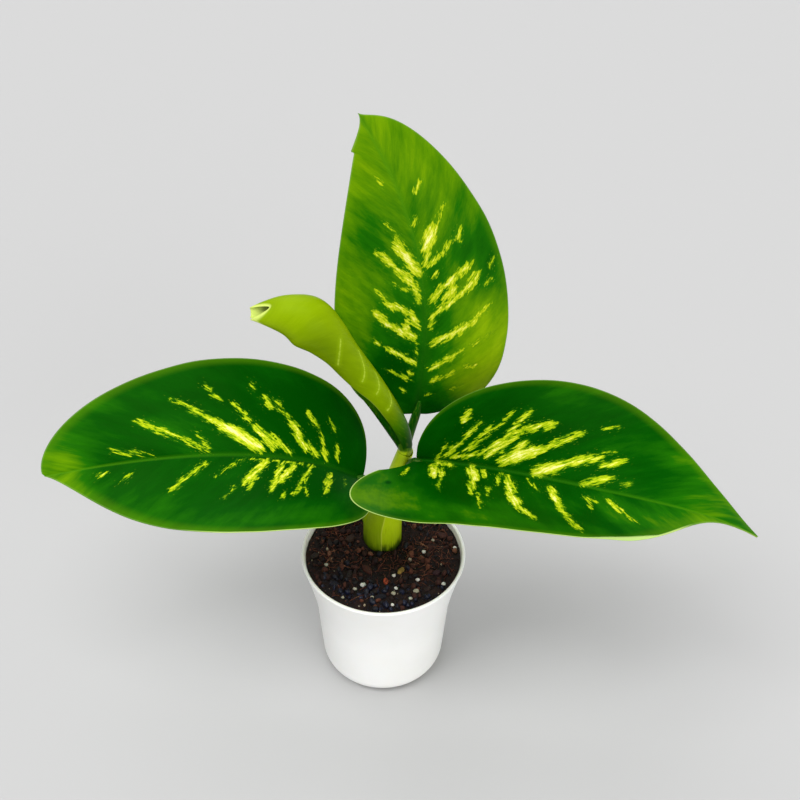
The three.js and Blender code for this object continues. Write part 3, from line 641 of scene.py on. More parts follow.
def leaf_surface():
    """Waxy green with cream streaks along the laterals, a yellow-green margin, a paler underside and painted
    sheen and shade.
    """
    s = Surface("variegated_leaf", {"Specular IOR Level": 0.06, "Specular Tint": "9ad46a"})
    vein_place = s.vector("vein_place")
    lateral, edge, under, rib = (s.value(name) for name in ("lateral", "edge", "under", "rib"))

    cloud = s.grain(vein_place, (0.05, 0.045, 1), 5)
    brush = s.grain(vein_place, (0.16, 0.07, 1), 4)
    grain = s.grain(vein_place, (0.9, 0.3, 1), 4)
    uneven = s.sum(s.vary(cloud, -0.1, 0.1), s.vary(brush, -0.045, 0.045))
    # The tone's patches hold painted sheen and painted shade as well as the leaf's own mottling.
    tone = s.sum(s.value("tone"), s.sum(uneven, s.vary(grain, -0.018, 0.018)))
    green = s.ramp(tone, LEAF_GREENS)
    green = s.blend(s.fade(lateral, 0.8, 1.0, 0, 0.09), green, "033e02")
    green = s.blend(s.fade(edge, 5, 0.5, 0, 0.3), green, "5f8f08")
    rib_green = s.ramp(s.value("share"), RIB_GREENS)
    green = s.blend(s.product(rib, 0.5), green, rib_green)

    ragged = s.grain(vein_place, (0.4, 0.22, 1), 5, 0.6)
    nicks = s.grain(vein_place, (0.9, 0.7, 1), 4, 0.6)
    rough = s.sum(s.fade(ragged, 0.28, 0.72, -1.4, 1.4), s.vary(nicks, -0.6, 0.6))
    depth = s.sum(s.value("streak"), rough)
    streak = s.fade(depth, 0.0, 0.22)
    halo = s.fade(depth, -1.1, 0.1, 0, 0.4)
    lines = s.grain(vein_place, (0.85, 0.11, 1), 3)
    stripes = s.sum(s.fade(lines, 0.38, 0.66, -0.08, 0.24), s.vary(nicks, -0.08, 0.08))
    light = s.sum(s.product(depth, 0.2), stripes)
    cream = s.ramp(light, CREAMS)
    green = s.blend(halo, green, "3f7d08")
    face = s.blend(streak, green, cream)
    near = s.fade(s.value("streak"), -4.5, -0.8)
    fleck = s.fade(s.cells(s.stretched(vein_place, (0.8, 0.4, 1)), 1), 0.17, 0.08)
    face = s.blend(s.product(s.product(fleck, near), 0.7), face, "86ad1e")
    face = s.blend(s.product(s.fade(edge, 0.7, 0.3), s.value("pale")), face, "b6cf74")
    face = s.blend(s.value("turned_edge"), face, "b9d67c")

    pale = s.ramp(s.sum(tone, s.fade(lateral, 0.4, 1, 0, 0.3)), UNDERSIDE_GREENS)
    pale = s.blend(s.product(streak, 0.45), pale, "bccb7a")
    pale = s.blend(rib, pale, "9dba50")
    base = s.blend(under, face, pale)

    pores = s.noise(vein_place, 2.6, 2)
    ladder = s.grain(vein_place, (0.25, 1.3, 1), 2)
    normal = s.bump(pores, 0.04, 0.3)
    normal = s.bump(ladder, 0.06, 0.3, normal)
    shine = s.sum(s.vary(cloud, 0.36, 0.46), s.product(under, 0.25))
    return s.finish(base, shine, normal)


def young_leaf_surface():
    """Fresh lime green: darker towards the middle of the roll, pale at the margin and along the laterals.

    The base and the strip rolled inside are darkened as painted shade, and the inside of the roll's end is
    paled as painted light.
    """
    s = Surface("young_leaf", {"Specular IOR Level": 0.12, "Specular Tint": "c8e070"})
    vein_place = s.vector("vein_place")
    cloud = s.grain(vein_place, (0.05, 0.04, 1), 4)
    grain = s.grain(vein_place, (0.9, 0.2, 1), 3)
    tone = s.sum(s.value("tone"), s.vary(cloud, -0.1, 0.1))
    green = s.ramp(tone, YOUNG_GREENS)
    green = s.blend(s.fade(grain, 0.5, 0.8, 0, 0.16), green, "a9c020")
    wander = s.vary(s.noise(vein_place, 0.5, 3), -0.15, 0.15)
    arc = s.sum(s.value("arc"), wander)
    green = s.blend(s.fade(arc, -2.6, 0, 0, 0.4), green, "94b40e")
    green = s.blend(s.fade(arc, -0.3, 0.2, 0, 0.75), green, "b8cf40")
    green = s.blend(s.value("pale"), green, "cfe070")
    normal = s.bump(s.noise(vein_place, 2.2, 2), 0.05, 0.35)
    normal = s.bump(grain, 0.1, 0.5, normal)
    return s.finish(green, s.vary(cloud, 0.3, 0.42), normal)


def stalk_surface(name, sheath_colours, petiole_colours):
    """Smooth fleshy sheath and petiole, with fine lengthwise strands and a pale margin at the seam.

    The side of the seam under the other margin is darkened as painted shade, and so is a foot whose first
    colour is dark.
    """
    s = Surface(name, {"Specular IOR Level": 0.25, "Specular Tint": "dcec90"})
    place = s.place()
    strands = s.noise(s.stretched(place, (1, 1, 0.05)), 1.3 * PER_MM, 3)
    mottle = s.noise(s.stretched(place, (1, 1, 0.35)), 0.16 * PER_MM, 4)
    uneven = s.sum(s.vary(mottle, -0.08, 0.08), s.vary(strands, -0.04, 0.04))
    foot, low, middle, mouth = sheath_colours
    up = s.sum(s.value("height"), uneven)
    sheath = s.ramp(up, [(0.12, foot), (0.27, low), (0.55, middle), (1.0, mouth)])
    # Painted shade: the side of the seam that lies under the other margin is darkened.
    sheath = s.blend(s.fade(s.value("seam"), 0.4, -0.6, 0, 0.6), sheath, "6c8a0a")
    line = s.fade(s.value("seam_gap"), SEAM.line_half_width + 0.25, SEAM.line_half_width - 0.1, 0, 0.45)
    sheath = s.blend(line, sheath, "d3dc50")
    first, last = petiole_colours
    petiole = s.ramp(s.sum(s.value("out"), uneven), [(0.0, first), (1.0, last)])
    green = s.blend(s.value("petiole"), sheath, petiole)
    green = s.blend(s.fade(strands, 0.5, 0.75, 0, 0.2), green, "b4c83c")
    green = s.blend(s.fade(mottle, 0.62, 0.8, 0, 0.3), green, "4f7d0a")
    normal = s.bump(strands, 0.12, 0.5)
    return s.finish(green, s.vary(mottle, 0.32, 0.45), normal)


def plastic_surface():
    """White moulded plastic with faint flow marks, a few scuffs, a trace of splashed mix by the rim and
    painted shade inside.
    """
    depth = {"Subsurface Weight": 0.04, "Subsurface Scale": 2 * MM}
    s = Surface("white_plastic", {"Specular IOR Level": 0.45, **depth})
    place = s.place()
    height = s.node("SeparateXYZ", {"Vector": place}).outputs["Z"]
    cloud = s.noise(place, 0.02 * PER_MM, 3)
    scuffs = s.noise(s.stretched(place, (1, 1, 6)), 0.12 * PER_MM, 5, 0.7)
    white = s.blend(s.vary(cloud), "fcfcfa", "f8f8f4")
    white = s.blend(s.fade(scuffs, 0.62, 0.8, 0, 0.12), white, "d8d6cd")
    inside = s.value("inside")
    splash = s.fade(s.noise(place, 0.35 * PER_MM, 5, 0.7), 0.55, 0.7)
    low_inside = s.product(inside, s.fade(height, 92.5 * MM, 88.5 * MM, 0.1, 0.9))
    # Painted shade: the inside of the pot is tinted a darker cream.
    white = s.blend(s.product(inside, 0.5), white, "e9e8d2")
    white = s.blend(s.product(splash, low_inside), white, "6d5a45")
    specks = s.fade(s.cells(place, 0.16 * PER_MM), 0.07, 0.04, 0, 0.3)
    white = s.blend(s.product(specks, s.fade(height, 70 * MM, 96 * MM)), white, "a89f8e")
    flow = s.noise(s.stretched(place, (1, 1, 0.25)), 0.25 * PER_MM, 2)
    normal = s.bump(flow, 0.06, 0.25)
    normal = s.bump(s.noise(place, 2.5 * PER_MM, 2), 0.01, 0.3, normal)
    return s.finish(white, s.fade(scuffs, 0.4, 0.8, 0.3, 0.46), normal)


def mix_surface():
    """Damp dark peat and bark dust."""
    s = Surface("damp_mix", {"Specular IOR Level": 0.3})
    place = s.place()
    cloud = s.noise(place, 0.09 * PER_MM, 4)
    grit = s.noise(place, 1.1 * PER_MM, 5, 0.7)
    brown = s.ramp(s.sum(s.product(cloud, 0.5), s.product(grit, 0.5)), PEAT_BROWNS)
    normal = s.bump(grit, 0.5, 0.9)
    return s.finish(brown, s.vary(grit, 0.7, 0.95), normal)


def crumb_surface():
    """Crumbs of peat, bark and coal-dark wood, each with a shade of its own."""
    s = Surface("mix_crumb", {"Specular IOR Level": 0.35})
    place = s.place()
    grit = s.noise(place, 1.6 * PER_MM, 4, 0.65)
    shade = s.sum(s.value("shade"), s.vary(grit, -0.08, 0.08))
    brown = s.ramp(shade, CRUMB_BROWNS)
    normal = s.bump(grit, 0.3, 0.8)
    return s.finish(brown, s.fade(shade, 0.05, 0.4, 0.4, 0.85), normal)


def fibre_surface():
    """Reddish strands of coir."""
    s = Surface("coir", {"Specular IOR Level": 0.3})
    tint = s.noise(s.place(), 0.25 * PER_MM, 2)
    brown = s.ramp(tint, COIR_BROWNS)
    normal = s.bump(s.noise(s.place(), 3 * PER_MM, 2), 0.1, 0.6)
    return s.finish(brown, s.vary(tint, 0.6, 0.85), normal)


def bark_surface(name, code):
    """A flake of bark: layered, with dark cracks and a lighter worn face."""
    s = Surface(name, {"Specular IOR Level": 0.3})
    place = s.place()
    layers = s.noise(s.stretched(place, (1, 0.3, 1)), 1.2 * PER_MM, 5, 0.65)
    dust = s.noise(place, 0.5 * PER_MM, 3)
    dark = [part * 0.35 for part in colour(code)[:3]] + [1.0]
    brown = s.blend(s.fade(layers, 0.35, 0.65), dark, code)
    brown = s.blend(s.fade(dust, 0.55, 0.8, 0, 0.35), brown, "7b5a44")
    return s.finish(brown, s.vary(layers, 0.6, 0.9), s.bump(layers, 0.3, 0.8))


def perlite_surface(name, code):
    """Puffed white glass: pitted, with brown dust in its hollows."""
    s = Surface(name, {"Specular IOR Level": 0.4, "Subsurface Weight": 0.1, "Subsurface Scale": 0.6 * MM})
    place = s.place()
    pits = s.cells(place, 1.6 * PER_MM)
    dust = s.noise(place, 0.8 * PER_MM, 3)
    white = s.blend(s.fade(dust, 0.5, 0.75, 0, 0.55), code, "8a7a66")
    return s.finish(white, s.vary(dust, 0.6, 0.85), s.bump(pits, 0.35, 0.8))


def root_surface(name, light, dark):
    """Pale root or cane skin with rings of darker cork."""
    s = Surface(name, {"Specular IOR Level": 0.3})
    place = s.place()
    cork = s.noise(s.stretched(place, (1, 1, 2.5)), 0.5 * PER_MM, 4)
    skin = s.blend(s.fade(cork, 0.4, 0.7), light, dark)
    return s.finish(skin, s.vary(cork, 0.55, 0.8), s.bump(cork, 0.3, 0.6))


# ---------------------------------------------------------------- pot


def wall_radius(z):
    """Radius of the pot's outside above its rounded base."""
    flared = np.maximum(0, z - POT.flare_from) / (POT.height - POT.flare_from)
    straight = mix(POT.base_radius, POT.straight_top_radius, z / POT.height)
    return straight + POT.flare * flared ** POT.flare_power


def rounded_foot(bottom, rounding, inset, steps):
    """The quarter round from a flat bottom up to the wall, as (radius, height) points."""
    widest = wall_radius(bottom + rounding) - inset
    turn = np.linspace(0, math.pi / 2, steps + 1)
    return list(zip(widest - rounding * (1 - np.sin(turn)), bottom + rounding * (1 - np.cos(turn))))


def wall_points(low, high, inset, steps):
    heights = np.linspace(low, high, steps + 1)[1:]
    return list(zip(wall_radius(heights) - inset, heights))


def pot_profile():
    """The pot's section from the middle of its underside, over the rim, to the middle of its floor."""
    rounding = POT.lip_rounding
    lip_base = POT.height - rounding
    rim = wall_radius(POT.height)
    foot_outer = wall_radius(POT.outer_rounding) - POT.outer_rounding
    foot_inner = foot_outer - POT.foot_width
    over = np.linspace(math.pi / 2, 0, POT.lip_steps + 1)[:-1]
    back = over[::-1]
    outer_lip = zip(rim - rounding + rounding * np.sin(over), lip_base + rounding * np.cos(over))
    inner_rim = rim - POT.lip_width
    inner_foot = POT.floor_top + POT.inner_rounding
    inner_lip = zip(inner_rim + rounding - rounding * np.sin(back), lip_base + rounding * np.cos(back))
    return [
        (POT.pad_radius - POT.foot_ease, 0), (POT.pad_radius, POT.pad_ease),
        (POT.pad_radius + POT.recess_slope, POT.recess), (foot_inner - POT.recess_slope, POT.recess),
        (foot_inner, POT.foot_ease), (foot_inner + POT.foot_ease, 0),
        *rounded_foot(0, POT.outer_rounding, 0, POT.foot_steps),
        *wall_points(POT.outer_rounding, lip_base, 0, POT.wall_steps),
        *outer_lip,
        *inner_lip,
        *wall_points(inner_foot, POT.height - POT.lip_height, POT.wall, POT.inner_wall_steps)[::-1],
        *rounded_foot(POT.floor_top, POT.inner_rounding, POT.wall, POT.inner_foot_steps)[::-1],
    ]


def turned_rings(profile, sides):
    """Rings of points round the Z axis, one for each (radius, height) of a profile."""
    around = np.column_stack([circle(sides), np.zeros(sides)])
    return [radius * around + np.array([0, 0, height]) for radius, height in profile]


def drain_drill():
    """Rods that stand through the floor where its drain holes are to be cut."""
    levels = [(POT.drain_hole_radius, z) for z in (-POT.drill_past, POT.floor_top + POT.drill_past)]
    rods = []
    for hole in range(POT.drain_holes):
        turn = 2 * math.pi * (hole + 0.5) / POT.drain_holes
        centre = np.array([math.cos(turn), math.sin(turn), 0]) * POT.drain_ring_radius
        rods.append(closed_loft([ring + centre for ring in turned_rings(levels, POT.drain_hole_sides)]))
    return new_body("drain_drill", *joined(rods))


def make_pot():
    points, faces = closed_loft(turned_rings(pot_profile(), POT.sides))
    radius = np.hypot(points[:, 0], points[:, 1])
    within = radius < wall_radius(points[:, 2]) - POT.wall * POT.inside_share
    inside = within & (points[:, 2] > POT.floor_top - POT.floor_slack)
    values = {"inside": inside}
    piece = new_piece("pot_shell", points, faces, plastic_surface(), ["pot"], values)
    drill = drain_drill()
    cut = piece.modifiers.new("drain", "BOOLEAN")
    cut.operation = "DIFFERENCE"
    cut.solver = "EXACT"
    cut.object = drill
    settle(piece)
    bpy.data.objects.remove(drill)
    piece.data.set_sharp_from_angle(angle=math.radians(POT.sharp_angle))


# ---------------------------------------------------------------- potting mix


def mix_top(x, y):
    """Height of the mix's plain top: heaped up at the wall, lower in the middle, with slow lumps."""
    out = np.minimum(1, np.hypot(x, y) / wall_radius(MIX.top_at_wall))
    slow = np.sin(x * MIX.lumps_per_mm + 1) * np.cos(y * MIX.lumps_per_mm) * MIX.lump_height
    return mix(MIX.top_in_middle, MIX.top_at_wall, out ** 2) + slow * (1 - out ** 4)


def bed_top(x, y):
    """Height of the mix's top with its clods, humps and grit."""
    flat = np.stack([x, y, np.zeros_like(x)], axis=-1)
    clods = CLODS.height * lumps(flat, CLODS.size, 1)
    humps = HUMPS.height * np.abs(lumps(flat, HUMPS.size, 2))
    grit = GRIT.height * lumps(flat, GRIT.size, 3)
    return mix_top(x, y) + (clods + humps + grit) * RELIEF


def make_bed():
    """The body of the mix: up the stem's hole, out over the top and down inside the pot's wall."""
    around = circle(MIX.sides)
    inset = POT.wall + MIX.gap
    hole = np.array([SHOOT.x, SHOOT.y]) + around * STEM_HOLE.radius
    wall = around * (wall_radius(MIX.top_at_wall) - inset)
    lining = [
        np.column_stack([hole, np.full(MIX.sides, level)])
        for level in np.linspace(STEM_HOLE.foot, MIX.top_in_middle - MIX.stem_drop, MIX.stem_steps)
    ]
    top = []
    for share in np.linspace(0, 1, MIX.rings):
        flat = mix(hole, wall, share)
        top.append(np.column_stack([flat, bed_top(flat[:, 0], flat[:, 1])]))
    bottom = POT.floor_top + MIX.floor_gap
    outside = [
        *rounded_foot(bottom, POT.inner_rounding, inset, MIX.foot_steps),
        *wall_points(bottom + POT.inner_rounding, MIX.top_at_wall - MIX.wall_drop, inset, MIX.wall_steps),
    ]
    points, faces = closed_loft([*lining, *top, *turned_rings(outside[::-1], MIX.sides)])
    new_piece("mix_bed", points, faces, mix_surface(), ["potting_mix"])


def open_places(rng, count, margin):
    """Random places on the mix, between the stem and the pot's wall."""
    places = []
    limit = wall_radius(MIX.top_at_wall) - POT.wall - margin
    while len(places) < count:
        x, y = rng.uniform(-limit, limit, 2)
        clear = math.hypot(x - SHOOT.x, y - SHOOT.y) > STEM_HOLE.radius + margin
        if clear and math.hypot(x, y) < limit:
            places.append((x, y))
    return np.array(places)


def nodes_named(start):
    return sorted(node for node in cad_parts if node.startswith(start))


GRAIN_BOXES = [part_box(node) for node in nodes_named(("perlite_", "bark_chip_"))]


def grain_near(x, y, size):
    """Whether a crumb there would hide a grain of perlite or a chip of bark."""
    for low, high in GRAIN_BOXES:
        gap_x = abs(x * MM - (low[0] + high[0]) / 2) - (high[0] - low[0]) / 2
        gap_y = abs(y * MM - (low[1] + high[1]) / 2) - (high[1] - low[1]) / 2
        if max(gap_x, gap_y) < size * MM * CRUMBS.clear_of_grains:
            return True
    return False


def icosphere(divisions):
    """Points and triangles of a round crumb before it is roughened."""
    shape = bmesh.new()
    bmesh.ops.create_icosphere(shape, subdivisions=divisions, radius=1)
    points = np.array([vertex.co for vertex in shape.verts])
    faces = np.array([[vertex.index for vertex in face.verts] for face in shape.faces])
    shape.free()
    return points, faces


def make_crumbs(name, batch):
    """Loose crumbs, each a roughened lump turned its own way and sunk a little into the bed."""
    rng = np.random.default_rng(batch.seed)
    ball, ball_faces = icosphere(batch.divisions)
    smallest, largest = batch.sizes
    places = open_places(rng, batch.count, largest * CRUMBS.margin)
    lowest_shade, shade_range = CRUMBS.back_shades
    bodies, shades = [], []
    for (x, y), height in zip(places, bed_top(places[:, 0], places[:, 1])):
        power = CRUMBS.front_power if y < CRUMBS.front_y else CRUMBS.back_power
        size = mix(smallest, largest, rng.random() ** power)
        if grain_near(x, y, size):
            continue
        shape = np.array([1, rng.uniform(*CRUMBS.width), rng.uniform(*CRUMBS.thickness)]) * size / 2
        rough_at = ball * CRUMBS.roughness_scale + rng.uniform(0, 90, 3)
        rough = 1 + CRUMBS.roughness * lumps(rough_at, 1, batch.seed)[:, None]
        turned = (ball * rough * shape) @ np.array(Euler(rng.uniform(0, 6.3, 3)).to_matrix())
        rest = height - turned[:, 2].min() - size * rng.uniform(*CRUMBS.sunk)
        bodies.append((turned + [x, y, rest], ball_faces))
        front = np.clip((CRUMBS.dark_from - y) / CRUMBS.dark_over, 0, 1)
        back_shade = lowest_shade + shade_range * rng.random()
        shade = mix(back_shade, CRUMBS.front_shade * rng.random() ** CRUMBS.front_shade_power, front)
        shades.append(np.full(len(ball), 1.0 if rng.random() > CRUMBS.pale_above else shade))
    points, faces = joined(bodies)
    new_piece(name, points, faces, crumb_surface(), values={"shade": np.concatenate(shades)})


def parallel_frames(centres):
    """Two unit vectors square to a path at each of its points, without a twist between neighbours."""
    along = unit(np.gradient(centres, axis=0))
    side = np.cross(along[0], [0.3, 0.5, 0.81])
    sides = []
    for direction in along:
        side = side - direction * np.dot(side, direction)
        side = side / np.linalg.norm(side)
        sides.append(side)
    sides = np.array(sides)
    return sides, np.cross(along, sides)


def round_tube(centres, radii, sides):
    """Points and faces of a closed tube through centres."""
    around = circle(sides)
    return closed_loft([
        centre + radius * (around[:, :1] * u + around[:, 1:] * v)
        for centre, radius, u, v in zip(centres, radii, *parallel_frames(centres))
    ])


def make_fibres():
    """Curled strands of coir that lie over and poke out of the bed."""
    rng = np.random.default_rng(FIBRES.seed)
    limit = wall_radius(MIX.top_at_wall) - POT.wall - FIBRES.wall_gap
    strands = []
    for x, y in open_places(rng, FIBRES.tries, FIBRES.margin):
        if y < FIBRES.front_y and rng.random() < FIBRES.front_left_out:
            continue
        length = rng.uniform(*FIBRES.length)
        heading = rng.uniform(0, 6.3)
        curl = rng.normal(0, FIBRES.curl)
        run = np.linspace(0, length, FIBRES.points)
        turn = heading + curl * run + FIBRES.wave * np.sin(run * rng.uniform(*FIBRES.waves_per_mm))
        step = length / (FIBRES.points - 1)
        px = x + np.cumsum(np.cos(turn)) * step
        py = y + np.cumsum(np.sin(turn)) * step
        from_stem = np.hypot(px - SHOOT.x, py - SHOOT.y).min()
        if np.hypot(px, py).max() > limit or from_stem < FIBRES.stem_clearance:
            continue
        height = rng.uniform(*FIBRES.arch)
        arch_turn = np.linspace(FIBRES.arch_start, math.pi * rng.uniform(*FIBRES.arch_end), FIBRES.points)
        pz = bed_top(px, py) + FIBRES.lift + height * np.sin(arch_turn)
        radius = rng.uniform(*FIBRES.radius) * np.linspace(*FIBRES.taper, FIBRES.points)
        strands.append(round_tube(np.column_stack([px, py, pz]), radius, FIBRES.sides))
    points, faces = joined(strands)
    new_piece("mix_fibres", points, faces, fibre_surface())


def dress(node, surface, way):
    """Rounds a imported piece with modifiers, roughens it and gives it its surface."""
    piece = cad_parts[node]
    piece.data.materials.clear()
    piece.data.materials.append(surface)
    weld_first = piece.modifiers.new("weld", "WELD")
    weld_first.merge_threshold = PACKED_WELD_REACH
    rounding = piece.modifiers.new("rounding", "SUBSURF")
    rounding.subdivision_type = way.kind
    rounding.levels = way.levels
    rounding.render_levels = way.levels
    if way.depth:
        texture = bpy.data.textures.new(node + "_rough", "CLOUDS")
        texture.noise_scale = way.grain * MM
        texture.noise_depth = ROUGHNESS.detail
        rough = piece.modifiers.new("rough", "DISPLACE")
        rough.texture = texture
        rough.texture_coords = "LOCAL"
        rough.strength = way.depth * MM
        rough.mid_level = ROUGHNESS.middle
    for face in piece.data.polygons:
        face.use_smooth = True


def dress_grains():
    perlite = [
        perlite_surface(f"perlite_shade_{number}", code) for number, code in enumerate(PERLITE_COLOURS, 1)
    ]
    for number, node in enumerate(nodes_named("perlite_")):
        dress(node, perlite[number % len(perlite)], PERLITE)
    for node, code in zip(nodes_named("bark_chip_"), CHIP_COLOURS):
        dress(node, bark_surface(node + "_bark", code), BARK)


# ---------------------------------------------------------------- shoot, sheaths and petioles


def shoot_centre(z):
    """The axis of the shoot at each height, which leans towards +X above lean_from."""
    z = np.asarray(z, float)
    risen = np.maximum(0, z - SHOOT.lean_from) / (SHOOT.lean_to - SHOOT.lean_from)
    lean = SHOOT.lean * risen ** SHOOT.lean_power
    return np.stack([SHOOT.x + lean, np.full_like(z, SHOOT.y), z], axis=-1)


def sheath_sheet(sheath):
    """A petiole's base wrapped round the shoot, one margin over the other and open at its mouth."""
    half_overlap = SEAM.overlap / 2
    turn = np.linspace(-half_overlap, 360 + half_overlap, SEAM.columns)
    share = np.linspace(0, 1, SEAM.rows)[:, None]
    from_seam = np.minimum(turn, 360 - turn)
    top = sheath.top - sheath.mouth_depth * np.exp(-((from_seam / SEAM.mouth_spread) ** 2))
    z = mix(sheath.foot, top, share)
    outer = mix(sheath.outer[0], sheath.outer[1], (z - sheath.foot) / (sheath.top - sheath.foot))
    under = np.clip((SEAM.overlap - turn) / SEAM.overlap, 0, 1) ** 2
    near_edge = np.clip(1 - (from_seam + half_overlap) / SEAM.edge_spread, 0, 1)
    outer = outer - SEAM.tuck * under - SEAM.over_edge_drop * near_edge * (turn > 180)
    wall = mix(sheath.wall, SEAM.edge_wall, near_edge ** 2)
    wall = wall * np.clip((1 - share) * SEAM.mouth_taper, SEAM.mouth_wall, 1)
    angle = np.radians(sheath.seam_turn + turn)
    around = np.stack([np.cos(angle), np.sin(angle), np.zeros(SEAM.columns)], axis=-1)
    centre = shoot_centre(z)
    return closed_sheet(centre + around * outer[..., None], centre + around * (outer - wall)[..., None])


def smooth_path(points, radii, count):
    """Points and radii at even steps along a smooth curve through points."""
    points = np.asarray(points, float)
    ends = np.vstack([2 * points[0] - points[1], points, 2 * points[-1] - points[-2]])
    place = np.linspace(0, len(points) - 1, count)
    before = np.minimum(place.astype(int), len(points) - 2)
    t = (place - before)[:, None]
    p0, p1, p2, p3 = (ends[before + offset] for offset in range(4))
    curve = 0.5 * (2 * p1 + (p2 - p0) * t + (2 * p0 - 5 * p1 + 4 * p2 - p3) * t ** 2
                   + (3 * p1 - 3 * p2 + p3 - p0) * t ** 3)
    return curve, np.interp(place, np.arange(len(points)), radii)


def fused(piece):
    """Blends a piece's overlapping parts into one body, and gives back where its points then lie."""
    blend = piece.modifiers.new("blend", "REMESH")
    blend.mode = "VOXEL"
    blend.voxel_size = STALK.voxel * MM
    smooth = piece.modifiers.new("smooth", "SMOOTH")
    smooth.factor = STALK.smoothing
    smooth.iterations = STALK.smooth_steps
    settle(piece)
    places = np.empty(len(piece.data.vertices) * 3)
    piece.data.vertices.foreach_get("co", places)
    return places.reshape(-1, 3) / MM


def stalk_values(places, sheath, petiole):
    """Where each point lies: up the sheath, round from its seam, and out along the petiole."""
    height = (places[:, 2] - sheath.foot) / (sheath.top - sheath.foot)
    away = places - shoot_centre(places[:, 2])
    outer = mix(sheath.outer[0], sheath.outer[1], np.clip(height, 0, 1))
    turn = np.degrees(np.arctan2(away[:, 1], away[:, 0])) - sheath.seam_turn
    seam = np.radians((turn + 180) % 360 - 180) * outer
    out = np.hypot(away[:, 0], away[:, 1]) / outer
    beyond = np.clip((out - STALK.petiole_starts) / STALK.petiole_ease, 0, 1)
    above = np.clip((height - 1) / STALK.top_ease, 0, 1)
    low, high = petiole[0][2], petiole[-1][2]
    return {
        "height": np.clip(height, 0, 1), "seam": seam, "seam_gap": np.abs(seam),
        "petiole": np.maximum(beyond, above), "out": (places[:, 2] - low) / (high - low),
    }


def make_stalk(node, sheath, leaf, sheets=()):
    """A leaf's petiole, fused with the sheets of its sheath where it has any."""
    centres, radii = smooth_path(leaf.petiole, leaf.petiole_radii, STALK.points)
    points, faces = joined([round_tube(centres, radii, STALK.sides), *sheets])
    name = node.replace("leaf", "stalk")
    surface = stalk_surface(name + "_skin", sheath.sheath_colours, sheath.petiole_colours)
    piece = new_piece(name, points, faces, surface, [node])
    places = fused(piece)
    add_values(piece.data, stalk_values(places, sheath, leaf.petiole))


def make_stalks():
    for node, sheath in SHEATHS.items():
        make_stalk(node, sheath, LEAVES[node], [sheath_sheet(sheath)])
    make_stalk("leaf_young", YOUNG_SHEATH, YOUNG_LEAF)


# ---------------------------------------------------------------- open leaves


def outline(share, half):
    """Width of a half blade as a share of its widest, from base to tip."""
    p, q = half.base_power, half.tip_power
    widest = p / (p + q)
    inside = np.clip(share, 1e-9, 1 - 1e-9)
    swell, reach = getattr(half, "base_swell", (0, 1))
    lobe = 1 + swell * np.exp(-((inside / reach) ** 2))
    return lobe * inside ** p * (1 - inside) ** q / (widest ** p * (1 - widest) ** q)


def midrib_point(leaf, share):
    hook = np.array(leaf.tip_hook, float)
    return bezier(leaf.midrib, share) + hook * (np.clip(share, 0, None) ** 10)[..., None]


